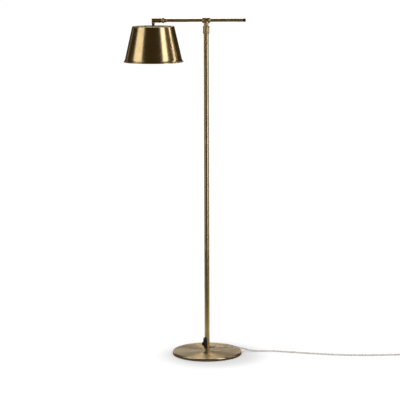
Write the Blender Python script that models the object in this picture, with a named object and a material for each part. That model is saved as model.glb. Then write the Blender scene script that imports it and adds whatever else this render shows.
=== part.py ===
"""Pharmacy floor lamp: a swivelling cross arm with a drop shade on a straight pole and a weighted base.

Metres, +Z up. The origin is the centre of the base's underside, on the pole's axis.
The arm runs along X with the shade at -X; the front of the lamp faces -Y.
"""
import math

import bmesh
import bpy
from mathutils import Vector

# Clearance kept between pieces that touch or screw together.
GAP = 0.0003

# Base: a spun cover over a cast weight on a felt pad.
BASE_RADIUS = 0.140
BASE_TOP = 0.012
COVER_WALL = 0.0012
COVER_EDGE_ROUND = 0.0022
COVER_SKIRT_FOOT = 0.0006
PAD_RADIUS = 0.1345
PAD_THICKNESS = 0.0020
STUD_RADIUS = 0.0050
NUT_POCKET_RADIUS = 0.0165
NUT_POCKET_DEPTH = 0.0047

# Pole: three lengths of tube joined by inner sleeves.
POLE_RADIUS = 0.0100
POLE_BORE = 0.0088
POLE_FOOT = BASE_TOP + GAP
POLE_JOINTS = (0.442, 0.872)
POLE_TOP = 1.3160
COUPLER_LENGTH = 0.060
COUPLER_RADIUS = 0.0085
COUPLER_BORE = 0.0066
FOOT_PLUG_TOP = 0.0195

# Head: collar on the pole, swivel stem, and the tee that the arm slides through.
ARM_HEIGHT = 1.3548
COLLAR_FOOT = 1.3015
COLLAR_TOP = 1.3331
COLLAR_RADIUS = 0.0134
STEM_RADIUS = 0.0060
STEM_BORE = 0.0042
NECK_FOOT = COLLAR_TOP + 0.0013
NECK_RADIUS = 0.0095
TEE_HALF_LENGTH = 0.0160
TEE_RADIUS = 0.0104
TEE_BEAD_RADIUS = 0.0114
TEE_BORE = 0.0088
BUSH_LENGTH = 0.0090
BUSH_RADIUS = 0.0085

# Arm: a tube with a cable slot underneath, an end cap and the collar that carries the elbow.
ARM_RADIUS = 0.0065
ARM_BORE = 0.0053
ARM_LEFT = -0.1685
ARM_RIGHT = 0.1450
END_CAP_LENGTH = 0.0120
SLIDE_OUT = 0.120
SLIDE_IN = 0.070
CABLE_SLOT_WIDTH = 0.0050

# Elbow: a barrel that turns on the end of the arm, with a tapered drop to the shade.
RING_TIP = -0.1570
RING_FACE = -0.1755
RING_BEAD_X = -0.1705
RING_BEAD_RADIUS = 0.0115
BARREL_RADIUS = 0.00925
BARREL_BORE = 0.0075
BARREL_RIGHT = -0.1767
BARREL_LEFT = -0.2161
BARREL_SHELF = 0.0030
AXLE_RADIUS = 0.0048
AXLE_BORE = 0.0031
DROP_X = -0.2100
DROP_FOOT = 1.3330
DROP_FOOT_RADIUS = 0.0048
DROP_ROOT_RADIUS = 0.0062
NIPPLE_RADIUS = 0.0037
NIPPLE_BORE = 0.0023

# Shade: a straight cone with a closed top, a small cove and a rolled rim.
SHADE_TOP = 1.3325
SHADE_TOP_RADIUS = 0.0835
SHADE_FOOT = 1.1899
SHADE_RIM_RADIUS = 0.1194
SHADE_WALL = 0.0008
SHADE_SLOPE = 0.2309
SHADE_CORNER_ROUND = 0.0035
RIM_BEAD_RADIUS = 0.0022
COVE_TOP = 1.2010

# Lampholder and bulb, hung from the nipple under the shade's top.
HOLDER_RADIUS = 0.0192
HOLDER_BORE = 0.0150
HOLDER_TOP = 1.3127
HOLDER_FOOT = 1.2790
BULB_THREAD_RADIUS = 0.0132
BULB_RADIUS = 0.0225
BULB_FOOT = 1.2280

# Rotary dimmer on the pole, just above the base, on its front left.
SWITCH_BEARING = math.radians(225)
SWITCH_FOOT = 0.0200
SWITCH_TOP = 0.0690
SWITCH_HALF_WIDTH = 0.0070
SWITCH_FACE = 0.0160
SWITCH_LOW_FACE = 0.0130
KNOB_HEIGHT = 0.0420
KNOB_RADIUS = 0.0103
KNOB_OUTER = 0.0218
SCREW_HEIGHTS = {"switch_screw_upper": 0.0630, "switch_screw_lower": 0.0258}

# Supply cord, its strain relief, its coil and its plug.
CORD_RADIUS = 0.00275
CORD_BEARING = math.radians(25)
CORD_HEIGHT = 0.0245
RELIEF_FLANGE = 0.0103
RELIEF_TIP = 0.0343
FLOOR_LIE = 0.0030
COIL_CENTRE = (0.848, -0.0062)
COIL_MID_RADIUS = 0.0305
COIL_COLUMNS = 4
COIL_LAYERS = 2
TIE_THICKNESS = 0.0008
TIE_WIDTH = 0.0060
TAIL_X = COIL_CENTRE[0] + COIL_MID_RADIUS + CORD_RADIUS
PLUG_ENTRY_Y = COIL_CENTRE[1] + 0.076
PLUG_HEIGHT = 0.0137
PLUG_TAPER_LENGTH = 0.0150
PLUG_BODY_LENGTH = 0.0350
PLUG_BACK_HALF_WIDTH = 0.0110
PLUG_FRONT_HALF_WIDTH = 0.0172
PIN_RADIUS = 0.0020
PIN_LENGTH = 0.0190
PIN_SPACING = 0.0186

# Sides of a full circle on large, ordinary and small round pieces.
LARGE = 44
MEDIUM = 20
SMALL = 14

# Turn of a joined or cutting piece about its axis, so that its corners miss its partner's.
OFF_CORNER = math.radians(4.3)

# Turns that lay a piece modelled along +Z onto another axis.
ALONG_X = (0.0, math.pi / 2, 0.0)
ALONG_Y = (-math.pi / 2, 0.0, 0.0)


def clear_scene():
    """Remove every object of the scene."""
    for item in list(bpy.data.objects):
        bpy.data.objects.remove(item, do_unlink=True)


def finish(name, red, green, blue, roughness, metallic=0.0):
    """Principled material of one colour, roughness and metallic value."""
    material = bpy.data.materials.new(name)
    material.use_nodes = True
    shader = material.node_tree.nodes["Principled BSDF"]
    shader.inputs["Base Color"].default_value = (red, green, blue, 1.0)
    shader.inputs["Roughness"].default_value = roughness
    shader.inputs["Metallic"].default_value = metallic
    material.diffuse_color = (red, green, blue, 1.0)
    return material


def place(item, at=(0.0, 0.0, 0.0), turn=(0.0, 0.0, 0.0), pivot=None):
    """Put an object at a world place and turn, under an unturned pivot if one is given."""
    item.location = Vector(at)
    item.rotation_euler = turn
    if pivot:
        item.parent = pivot
        item.location -= pivot.location
    return item


def from_bmesh(shape, name, material=None):
    """Object from a bmesh, smooth except across its real corners."""
    mesh = bpy.data.meshes.new(name)
    bmesh.ops.recalc_face_normals(shape, faces=shape.faces)
    shape.to_mesh(mesh)
    shape.free()
    mesh.shade_smooth()
    mesh.set_sharp_from_angle(angle=math.radians(32))
    if material:
        mesh.materials.append(material)
    item = bpy.data.objects.new(name, mesh)
    bpy.context.scene.collection.objects.link(item)
    return item


def turned(name, outline, material=None, steps=MEDIUM):
    """Solid turned about Z from a closed outline of (radius, height) points."""
    shape = bmesh.new()
    corners = [shape.verts.new((radius, 0.0, height)) for radius, height in outline]
    edges = []
    for here, there in zip(corners, corners[1:] + corners[:1]):
        if here.co.x > 0 or there.co.x > 0:
            edges.append(shape.edges.new((here, there)))
    bmesh.ops.spin(shape, geom=corners + edges, cent=(0, 0, 0), axis=(0, 0, 1),
                   angle=2 * math.pi, steps=steps, use_merge=True)
    bmesh.ops.remove_doubles(shape, verts=shape.verts, dist=1e-6)
    return from_bmesh(shape, name, material)


def tube(name, bore, radius, foot, top, material=None, steps=MEDIUM):
    """Plain hollow cylinder along Z."""
    outline = [(bore, foot), (radius, foot), (radius, top), (bore, top)]
    return turned(name, outline, material, steps)


def rod(name, radius, foot, top, material=None, steps=SMALL, chamfer=0.0):
    """Solid cylinder along Z, with both ends chamfered if a chamfer is given."""
    outline = [(0, foot), (radius - chamfer, foot), (radius, foot + chamfer),
               (radius, top - chamfer), (radius - chamfer, top), (0, top)]
    if not chamfer:
        outline = [(0, foot), (radius, foot), (radius, top), (0, top)]
    return turned(name, outline, material, steps)


def prism(name, outline, start, end, material=None):
    """Solid of a flat outline of (y, z) points, extruded along X from start to end."""
    shape = bmesh.new()
    face = shape.faces.new([shape.verts.new((start, y, z)) for y, z in outline])
    grown = bmesh.ops.extrude_face_region(shape, geom=[face])
    moved = [part for part in grown["geom"] if isinstance(part, bmesh.types.BMVert)]
    bmesh.ops.translate(shape, verts=moved, vec=(end - start, 0, 0))
    return from_bmesh(shape, name, material)


def block(name, low, high, material=None):
    """Box between two corners."""
    outline = [(low[1], low[2]), (high[1], low[2]), (high[1], high[2]), (low[1], high[2])]
    return prism(name, outline, low[0], high[0], material)


def arc(centre, radius, start, end, steps):
    """Points of a circular arc in a plane, angles in degrees."""
    points = []
    for index in range(steps + 1):
        angle = math.radians(start + (end - start) * index / steps)
        points.append((centre[0] + radius * math.cos(angle), centre[1] + radius * math.sin(angle)))
    return points


def boolean(target, tool, operation):
    """Cut or join with a hidden tool object, by the exact solver."""
    tool.hide_render = True
    tool.display_type = "WIRE"
    modifier = target.modifiers.new(operation.lower(), "BOOLEAN")
    modifier.operation = operation
    modifier.solver = "EXACT"
    modifier.object = tool


def hex_nut(name, across_flats, hole, foot, top, material):
    """Hexagon nut along Z; the hole's cutter is kept with it."""
    nut = turned(name, [(0, foot), (across_flats / math.sqrt(3), foot),
                        (across_flats / math.sqrt(3), top), (0, top)], material, steps=6)
    drill = rod(name + "_drill", hole, foot - 0.002, top + 0.002)
    drill.parent = nut
    boolean(nut, drill, "DIFFERENCE")
    return nut


def pivot_empty(name, at):
    """Empty on a joint's axis, which carries the pieces that move with it."""
    empty = bpy.data.objects.new(name, None)
    empty.empty_display_size = 0.02
    empty.location = at
    bpy.context.scene.collection.objects.link(empty)
    return empty


def base(brass, iron, felt, steel):
    """Pad, cast weight, spun cover, and the stud that clamps the pole to them."""
    rod("base_pad", PAD_RADIUS, 0.0, PAD_THICKNESS, felt, LARGE)
    weight_foot = PAD_THICKNESS + GAP
    weight_top = BASE_TOP - COVER_WALL - GAP
    weight_radius = BASE_RADIUS - COVER_WALL - 0.0008
    pocket_top = weight_foot + NUT_POCKET_DEPTH
    turned("base_weight", [
        (NUT_POCKET_RADIUS, weight_foot), (weight_radius, weight_foot),
        (weight_radius, weight_top - 0.0018), (weight_radius - 0.0018, weight_top),
        (STUD_RADIUS + GAP, weight_top), (STUD_RADIUS + GAP, pocket_top),
        (NUT_POCKET_RADIUS, pocket_top)], iron, LARGE)
    inner_round = COVER_EDGE_ROUND - COVER_WALL
    corner = (BASE_RADIUS - COVER_EDGE_ROUND, BASE_TOP - COVER_EDGE_ROUND)
    turned("base_cover", [(BASE_RADIUS, COVER_SKIRT_FOOT)] + arc(corner, COVER_EDGE_ROUND, 0, 90, 4)
           + [(STUD_RADIUS + GAP, BASE_TOP), (STUD_RADIUS + GAP, BASE_TOP - COVER_WALL)]
           + arc(corner, inner_round, 90, 0, 2)
           + [(BASE_RADIUS - COVER_WALL, COVER_SKIRT_FOOT)], brass, LARGE)
    tube("base_washer", STUD_RADIUS + GAP, 0.0125, pocket_top - GAP - 0.0010, pocket_top - GAP, steel)
    hex_nut("base_nut", 0.017, STUD_RADIUS + GAP, weight_foot, pocket_top - 0.0016, steel)
    rod("base_stud", STUD_RADIUS, weight_foot, FOOT_PLUG_TOP - 0.0005, steel, chamfer=0.0005)


def pole(brass, steel, pvc):
    """Three tubes, the sleeves that join them, the foot plug and the lead inside."""
    ends = [POLE_FOOT]
    for joint in POLE_JOINTS:
        ends += [joint - GAP / 2, joint + GAP / 2]
    ends.append(POLE_TOP)
    names = ("pole_lower", "pole_middle", "pole_upper")
    tubes = []
    for name, foot, top in zip(names, ends[0::2], ends[1::2]):
        tubes.append(tube(name, POLE_BORE, POLE_RADIUS, foot, top, brass))
    for name, joint in zip(("pole_coupler_lower", "pole_coupler_upper"), POLE_JOINTS):
        tube(name, COUPLER_BORE, COUPLER_RADIUS, joint - COUPLER_LENGTH / 2,
             joint + COUPLER_LENGTH / 2, steel)
    tube("pole_foot_plug", STUD_RADIUS + GAP, COUPLER_RADIUS, POLE_FOOT, FOOT_PLUG_TOP, steel)
    rod("pole_lead", 0.0025, 0.0500, NECK_FOOT + 0.0080, pvc)
    drill_pole(tubes[0])


def drill_pole(lower_tube):
    """Holes through the lower tube for the cord, the dimmer's wires and its two screws."""
    holes = [("cord_hole", 0.0043, CORD_BEARING, CORD_HEIGHT),
             ("wire_hole", 0.0025, SWITCH_BEARING, KNOB_HEIGHT)]
    for name, height in SCREW_HEIGHTS.items():
        holes.append((name + "_hole", 0.0014, SWITCH_BEARING, height))
    for name, radius, bearing, height in holes:
        drill = rod(name, radius, 0.0050, 0.0150)
        place(drill, (0, 0, height), (0, math.pi / 2, bearing))
        boolean(lower_tube, drill, "DIFFERENCE")


def collar(brass):
    """Spool on the pole's top, with an inner shelf that the swivel stem turns in."""
    bore = POLE_RADIUS + GAP
    shelf = POLE_TOP + GAP
    stem_hole = STEM_RADIUS + GAP
    lip = 0.0018
    turned("swivel_collar", [
        (bore, COLLAR_FOOT), (bore + 0.0006, COLLAR_FOOT), (COLLAR_RADIUS - 0.0006, COLLAR_FOOT + 0.0034),
        (COLLAR_RADIUS, COLLAR_FOOT + 0.0046), (COLLAR_RADIUS, COLLAR_FOOT + 0.0066),
        (COLLAR_RADIUS - 0.0007, COLLAR_FOOT + 0.0080),
        (COLLAR_RADIUS - 0.0007, COLLAR_TOP - 0.0085),
        (COLLAR_RADIUS, COLLAR_TOP - 0.0070), (COLLAR_RADIUS, COLLAR_TOP - 0.0045),
        (COLLAR_RADIUS - 0.0008, COLLAR_TOP - 0.0030),
        (COLLAR_RADIUS - lip, COLLAR_TOP - 0.0005), (COLLAR_RADIUS - lip - 0.0005, COLLAR_TOP),
        (stem_hole, COLLAR_TOP), (stem_hole, shelf), (bore, shelf)], brass)


def head(brass, steel, nylon, pivot):
    """Swivel stem and its fasteners, the tee, its two bushes and the thumb screw behind it."""
    place(tube("swivel_stem", STEM_BORE, STEM_RADIUS, 1.3060, 1.3440, steel), pivot=pivot)
    washer_top = NECK_FOOT - GAP
    washer = tube("swivel_washer", STEM_RADIUS + GAP, 0.0092, COLLAR_TOP + GAP, washer_top, nylon)
    place(washer, pivot=pivot)
    lock_top = POLE_TOP
    lock = tube("swivel_lock_washer", STEM_RADIUS + GAP, 0.0082, lock_top - 0.0010, lock_top, steel)
    place(lock, pivot=pivot)
    nut = hex_nut("swivel_nut", 0.0140, STEM_RADIUS + GAP, lock_top - 0.0073, lock_top - 0.0013, steel)
    place(nut, pivot=pivot)
    tee(brass, pivot)
    for name, side in (("sleeve_bush_left", -1), ("sleeve_bush_right", 1)):
        bush = tube(name, ARM_RADIUS + GAP, BUSH_RADIUS, -BUSH_LENGTH / 2, BUSH_LENGTH / 2, nylon)
        place(bush, (side * (TEE_HALF_LENGTH - 0.0015 - BUSH_LENGTH / 2), 0, ARM_HEIGHT), ALONG_X, pivot)
    screw = turned("slide_screw", [
        (0, ARM_RADIUS + GAP), (0.0017, ARM_RADIUS + GAP), (0.0017, 0.0130), (0.0038, 0.0130),
        (0.0044, 0.0136), (0.0044, 0.0186), (0.0038, 0.0192), (0, 0.0192)], brass, SMALL)
    place(screw, (0, 0, ARM_HEIGHT), ALONG_Y, pivot)


def tee(brass, pivot):
    """Tee: a beaded sleeve across the top of a short neck, bored both ways."""
    half = TEE_HALF_LENGTH
    bead = half - 0.0052
    outline = [(0, -half), (0.0092, -half), (0.0098, -half + 0.0006)]
    for side in (-1, 1):
        outline += arc((TEE_BEAD_RADIUS - 0.0018, side * bead), 0.0018, -75, 75, 4)
        if side < 0:
            outline += [(TEE_RADIUS, -bead + 0.0024), (TEE_RADIUS, bead - 0.0024)]
    outline += [(0.0098, half - 0.0006), (0.0092, half), (0, half)]
    body = turned("tee_fitting", outline, brass)
    neck = rod("tee_neck", NECK_RADIUS, NECK_FOOT, ARM_HEIGHT - 0.0010, steps=MEDIUM)
    arm_bore = rod("tee_arm_bore", TEE_BORE, -0.030, 0.030, steps=MEDIUM)
    stem_bore = rod("tee_stem_bore", STEM_RADIUS + GAP, NECK_FOOT - 0.005, ARM_HEIGHT - 0.0030)
    screw_bore = rod("tee_screw_bore", 0.0020, 0.0052, 0.0160)
    place(body, (0, 0, ARM_HEIGHT), ALONG_X, pivot)
    place(neck, turn=(0, 0, OFF_CORNER), pivot=pivot)
    place(arm_bore, (0, 0, ARM_HEIGHT), ALONG_X, pivot)
    place(stem_bore, turn=(0, 0, 2 * OFF_CORNER), pivot=pivot)
    place(screw_bore, (0, 0, ARM_HEIGHT), ALONG_Y, pivot)
    boolean(body, neck, "UNION")
    boolean(body, arm_bore, "DIFFERENCE")
    boolean(body, stem_bore, "DIFFERENCE")
    boolean(body, screw_bore, "DIFFERENCE")


def arm(brass, steel, nylon, black, pvc, pivot):
    """Slotted tube, end cap, collar and hollow axle for the elbow, and the lead inside."""
    axis = (0, 0, ARM_HEIGHT)
    shaft = tube("arm_tube", ARM_BORE, ARM_RADIUS, ARM_LEFT, ARM_RIGHT, brass)
    place(shaft, axis, ALONG_X, pivot)
    low = (-SLIDE_IN - 0.004, -CABLE_SLOT_WIDTH / 2, ARM_HEIGHT - 0.009)
    high = (SLIDE_OUT + 0.004, CABLE_SLOT_WIDTH / 2, ARM_HEIGHT - 0.002)
    slot = place(block("arm_cable_slot", low, high), pivot=pivot)
    boolean(shaft, slot, "DIFFERENCE")
    cap_face = ARM_RIGHT + GAP
    cap_end = ARM_RIGHT + END_CAP_LENGTH
    cap = turned("arm_end_cap", [
        (0, cap_face - 0.010), (ARM_BORE - GAP, cap_face - 0.010), (ARM_BORE - GAP, cap_face),
        (ARM_RADIUS, cap_face), (ARM_RADIUS, cap_end - 0.0008), (ARM_RADIUS - 0.0008, cap_end),
        (0, cap_end)], black)
    place(cap, axis, ALONG_X, pivot)
    ring = turned("elbow_ring", [
        (AXLE_RADIUS + GAP, RING_FACE), (BARREL_RADIUS - 0.0002, RING_FACE),
        (BARREL_RADIUS, RING_FACE + 0.0012)] + arc((RING_BEAD_RADIUS - 0.0022, RING_BEAD_X), 0.0022, -60, 60, 4)
        + [(BARREL_RADIUS, RING_BEAD_X + 0.0030), (ARM_RADIUS + 0.0011, RING_TIP - 0.0004),
           (ARM_RADIUS + 0.0008, RING_TIP), (ARM_RADIUS + GAP, RING_TIP),
           (ARM_RADIUS + GAP, ARM_LEFT - GAP), (AXLE_RADIUS + GAP, ARM_LEFT - GAP)], brass)
    place(ring, axis, ALONG_X, pivot)
    axle = tube("elbow_axle", AXLE_BORE, AXLE_RADIUS, BARREL_RIGHT - 0.0098, -0.1600, steel)
    place(axle, axis, ALONG_X, pivot)
    washer = tube("elbow_washer", AXLE_RADIUS + GAP, 0.0090, BARREL_RIGHT + GAP, RING_FACE - GAP, nylon)
    place(washer, axis, ALONG_X, pivot)
    shelf_inside = BARREL_RIGHT - BARREL_SHELF - GAP
    spring = tube("elbow_spring_washer", AXLE_RADIUS + GAP, 0.0070, shelf_inside - 0.0008, shelf_inside, steel)
    place(spring, axis, ALONG_X, pivot)
    nut = hex_nut("elbow_nut", 0.0120, AXLE_RADIUS + GAP, shelf_inside - 0.0060, shelf_inside - 0.0011, steel)
    place(nut, axis, ALONG_X, pivot)
    place(rod("arm_lead", 0.0020, -0.2000, -0.0100, pvc), axis, ALONG_X, pivot)


def elbow(brass, steel, pvc, pivot):
    """Barrel with its tapered drop, its end plug, and the nipple that holds the shade."""
    axis = (0, 0, ARM_HEIGHT)
    chamfer = 0.0005
    barrel = turned("elbow_barrel", [
        (0, BARREL_LEFT), (BARREL_RADIUS - chamfer, BARREL_LEFT), (BARREL_RADIUS, BARREL_LEFT + chamfer),
        (BARREL_RADIUS, BARREL_RIGHT - chamfer), (BARREL_RADIUS - chamfer, BARREL_RIGHT),
        (0, BARREL_RIGHT)], brass)
    drop = turned("elbow_drop", [
        (0, DROP_FOOT), (DROP_FOOT_RADIUS, DROP_FOOT), (DROP_ROOT_RADIUS, ARM_HEIGHT - 0.0090),
        (DROP_ROOT_RADIUS, ARM_HEIGHT), (0, ARM_HEIGHT)])
    hollow = rod("elbow_hollow", BARREL_BORE, BARREL_LEFT - 0.010, BARREL_RIGHT - BARREL_SHELF, steps=MEDIUM)
    axle_bore = rod("elbow_axle_bore", AXLE_RADIUS + GAP, BARREL_LEFT, BARREL_RIGHT + 0.010)
    drop_bore = rod("elbow_drop_bore", NIPPLE_RADIUS + GAP, DROP_FOOT - 0.010, ARM_HEIGHT)
    place(barrel, axis, ALONG_X, pivot)
    place(drop, (DROP_X, 0, 0), (0, 0, OFF_CORNER), pivot)
    place(hollow, axis, ALONG_X, pivot)
    place(axle_bore, axis, ALONG_X, pivot)
    place(drop_bore, (DROP_X, 0, 0), (0, 0, 2 * OFF_CORNER), pivot)
    boolean(barrel, drop, "UNION")
    boolean(barrel, hollow, "DIFFERENCE")
    boolean(barrel, axle_bore, "DIFFERENCE")
    boolean(barrel, drop_bore, "DIFFERENCE")
    plug = rod("elbow_end_plug", BARREL_BORE - GAP, BARREL_LEFT, BARREL_LEFT + 0.0018, brass)
    place(plug, axis, ALONG_X, pivot)
    nipple = tube("shade_nipple", NIPPLE_BORE, NIPPLE_RADIUS, 1.3190, 1.3450, steel, SMALL)
    place(nipple, (DROP_X, 0, 0), pivot=pivot)
    lead = rod("holder_lead", 0.0017, 1.3165, 1.3520, pvc, steps=12)
    place(lead, (DROP_X, 0, 0), pivot=pivot)


def shade(brass, steel, pivot):
    """Spun cone, open below, with the washer that clamps its top under the elbow."""
    corner = (SHADE_TOP_RADIUS - SHADE_CORNER_ROUND, SHADE_TOP - SHADE_CORNER_ROUND)
    cove_radius = SHADE_TOP_RADIUS + SHADE_SLOPE * (SHADE_TOP - COVE_TOP)
    bead = (SHADE_RIM_RADIUS - RIM_BEAD_RADIUS, SHADE_FOOT + RIM_BEAD_RADIUS)
    slant = math.degrees(math.atan(SHADE_SLOPE))
    outside = [(NIPPLE_RADIUS + GAP, SHADE_TOP)] + arc(corner, SHADE_CORNER_ROUND, 90, slant, 3)
    outside += [(cove_radius, COVE_TOP), (cove_radius + 0.0012, COVE_TOP - 0.0035),
                (cove_radius + 0.0027, COVE_TOP - 0.0058)]
    rim = arc(bead, RIM_BEAD_RADIUS, 75, -150, 6)
    inner_corner = SHADE_CORNER_ROUND - SHADE_WALL
    inside = [(cove_radius + 0.0008, COVE_TOP - 0.0052), (cove_radius - SHADE_WALL, COVE_TOP)]
    inside += arc(corner, inner_corner, slant, 90, 2) + [(NIPPLE_RADIUS + GAP, SHADE_TOP - SHADE_WALL)]
    place(turned("shade", outside + rim + inside, brass, LARGE), (DROP_X, 0, 0), pivot=pivot)
    washer_top = SHADE_TOP - SHADE_WALL - GAP
    washer = tube("shade_washer", NIPPLE_RADIUS + GAP, 0.0130, washer_top - 0.0012, washer_top, steel)
    place(washer, (DROP_X, 0, 0), pivot=pivot)


def lampholder(bakelite, brass, steel, pivot):
    """Cap, body, screw shell and centre contact of the screw lampholder."""
    cap_top = SHADE_TOP - SHADE_WALL - 2 * GAP - 0.0015
    cap_foot = HOLDER_TOP + GAP
    wall = 0.0015
    cap = turned("lampholder_cap", [
        (NIPPLE_RADIUS + GAP, cap_top), (0.0092, cap_top), (0.0105, cap_top - 0.0012),
        (0.0125, cap_top - 0.0045), (0.0170, cap_top - 0.0075), (HOLDER_RADIUS, cap_top - 0.0105),
        (HOLDER_RADIUS, cap_foot), (HOLDER_RADIUS - wall, cap_foot),
        (HOLDER_RADIUS - wall, cap_top - 0.0110), (0.0155, cap_top - 0.0092),
        (0.0100, cap_top - 0.0062), (NIPPLE_RADIUS + GAP, cap_top - 0.0062)], bakelite)
    floor_foot = HOLDER_TOP - 0.0025
    body = turned("lampholder_body", [
        (0.0030, HOLDER_TOP), (HOLDER_RADIUS, HOLDER_TOP), (HOLDER_RADIUS, HOLDER_FOOT + 0.0120),
        (HOLDER_RADIUS - 0.0012, HOLDER_FOOT + 0.0110), (HOLDER_RADIUS - 0.0016, HOLDER_FOOT),
        (HOLDER_BORE, HOLDER_FOOT), (HOLDER_BORE, floor_foot), (0.0030, floor_foot)], bakelite)
    shell = tube("lampholder_screw_shell", 0.0138, HOLDER_BORE - GAP, HOLDER_FOOT + 0.0040,
                 floor_foot - GAP, brass)
    contact = turned("lampholder_contact", [
        (0, 1.3066), (0.0022, 1.3066), (0.0022, 1.3078), (0.0050, 1.3090),
        (0.0050, floor_foot - GAP), (0, floor_foot - GAP)], steel, SMALL)
    for item in (cap, body, shell, contact):
        place(item, (DROP_X, 0, 0), pivot=pivot)


def bulb(glass, brass, pivot):
    """Golf-ball bulb: a screw base and a round globe below it."""
    base_top = 1.3062
    base_foot = 1.2815
    screw = turned("bulb_base", [
        (0, base_top), (0.0045, base_top), (0.0060, base_top - 0.0015), (0.0105, base_top - 0.0035),
        (BULB_THREAD_RADIUS, base_top - 0.0060), (BULB_THREAD_RADIUS, base_foot), (0, base_foot)], brass)
    neck_top = base_foot - GAP
    centre = (0, BULB_FOOT + BULB_RADIUS)
    globe = turned("bulb_globe", [(0, neck_top), (0.0125, neck_top), (0.0130, neck_top - 0.0025)]
                   + [(0.0155, neck_top - 0.0090)]
                   + arc(centre, BULB_RADIUS, 42, -90, 11)[:-1] + [(0, BULB_FOOT)], glass)
    for item in (screw, globe):
        place(item, (DROP_X, 0, 0), pivot=pivot)


def switch(black, circuit, steel, knob_pivot):
    """Dimmer housing saddled on the pole, its module, two screws, and the knob on its shaft."""
    turn = (0, 0, SWITCH_BEARING)
    middle = SWITCH_FOOT + SWITCH_HALF_WIDTH
    outline = arc((0, middle), SWITCH_HALF_WIDTH, 180, 360, 10)
    outline += arc((0, SWITCH_TOP - SWITCH_HALF_WIDTH), SWITCH_HALF_WIDTH, 0, 180, 10)
    housing = place(prism("switch_housing", outline, 0.0060, SWITCH_FACE, black), turn=turn)
    cuts = [rod("switch_saddle", POLE_RADIUS + GAP, 0.0, 0.1, steps=MEDIUM),
            block("switch_low_step", (SWITCH_LOW_FACE, -0.01, 0.0), (0.03, 0.01, 0.0305)),
            block("switch_pocket", (0.0050, -0.0046, 0.0310), (0.0140, 0.0046, 0.0530))]
    for cutter in cuts:
        place(cutter, turn=turn)
    shaft_bore = rod("switch_shaft_bore", 0.0023, 0.0130, 0.0200)
    cuts.append(place(shaft_bore, (0, 0, KNOB_HEIGHT), (0, math.pi / 2, SWITCH_BEARING)))
    for name, height in SCREW_HEIGHTS.items():
        face = SWITCH_FACE if height > KNOB_HEIGHT else SWITCH_LOW_FACE
        seat = face - 0.0014
        lying = (0, math.pi / 2, SWITCH_BEARING)
        counterbore = turned(name + "_seat", [
            (0, 0.0050), (0.0014, 0.0050), (0.0014, seat - GAP), (0.0025, seat - GAP),
            (0.0025, face + 0.0020), (0, face + 0.0020)], steps=SMALL)
        cuts.append(place(counterbore, (0, 0, height), lying))
        screw = turned(name, [(0, 0.0084), (0.0011, 0.0084), (0.0011, seat), (0.0022, seat),
                              (0.0022, face - 0.0003), (0.0018, face), (0, face)], steel, 16)
        place(screw, (0, 0, height), lying)
    for cutter in cuts:
        boolean(housing, cutter, "DIFFERENCE")
    module = block("dimmer_module", (0.0106, -0.0042, 0.0314), (0.0136, 0.0042, 0.0526), circuit)
    place(module, turn=turn)
    knob_parts(black, steel, knob_pivot)


def knob_parts(black, steel, knob_pivot):
    """Dimmer knob, dished on its face, and the shaft it is pushed on."""
    lying = (0, math.pi / 2, SWITCH_BEARING)
    inner = SWITCH_FACE + GAP
    knob = turned("switch_knob", [
        (0.0023, inner), (KNOB_RADIUS, inner), (KNOB_RADIUS, inner + 0.0020),
        (KNOB_RADIUS - 0.0012, KNOB_OUTER - 0.0008), (KNOB_RADIUS - 0.0020, KNOB_OUTER),
        (KNOB_RADIUS - 0.0040, KNOB_OUTER), (KNOB_RADIUS - 0.0048, KNOB_OUTER - 0.0006),
        (0, KNOB_OUTER - 0.0006), (0, KNOB_OUTER - 0.0018), (0.0023, KNOB_OUTER - 0.0018)], black)
    place(knob, (0, 0, KNOB_HEIGHT), lying, knob_pivot)
    shaft = rod("knob_shaft", 0.0020, 0.0139, KNOB_OUTER - 0.0021, steel, 16)
    place(shaft, (0, 0, KNOB_HEIGHT), lying, knob_pivot)


def cord_route():
    """Route of the free cord from its strain relief to the coil, as points in the world."""
    exit_side = Vector((math.cos(CORD_BEARING), math.sin(CORD_BEARING), 0))
    start = exit_side * (RELIEF_TIP + GAP) + Vector((0, 0, CORD_HEIGHT))
    coil_side = COIL_CENTRE[1] - COIL_MID_RADIUS - 3 * CORD_RADIUS
    over_base = [(0.0590, 0.0268, 0.0235), (0.0870, 0.0352, 0.0206), (0.1130, 0.0345, 0.0176),
                 (0.1350, 0.0296, 0.0153), (0.1530, 0.0262, 0.0116), (0.1730, 0.0250, 0.0066),
                 (0.1950, 0.0258, 0.0036)]
    on_floor = [(0.2310, 0.0272), (0.2850, 0.0200), (0.3450, 0.0040), (0.4100, -0.0150),
                (0.4800, -0.0330), (0.5500, -0.0450), (0.6250, -0.0500), (0.7000, -0.0490),
                (0.7600, -0.0463), (0.8000, coil_side), (0.8260, coil_side)]
    points = [start] + [Vector(point) for point in over_base]
    points += [Vector((x, y, FLOOR_LIE)) for x, y in on_floor]
    return points


def tail_route():
    """Route of the cord's tail, off the top of the coil and down to the plug's tapered end."""
    rise = 2 * TIE_THICKNESS + 3 * CORD_RADIUS
    start = COIL_CENTRE[1] + 0.0290
    return [Vector((TAIL_X, start, rise)), Vector((TAIL_X, start + 0.010, 0.0085)),
            Vector((TAIL_X, start + 0.022, 0.0056)), Vector((TAIL_X, start + 0.036, 0.0050)),
            Vector((TAIL_X, PLUG_ENTRY_Y - GAP, PLUG_HEIGHT / 2))]


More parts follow.
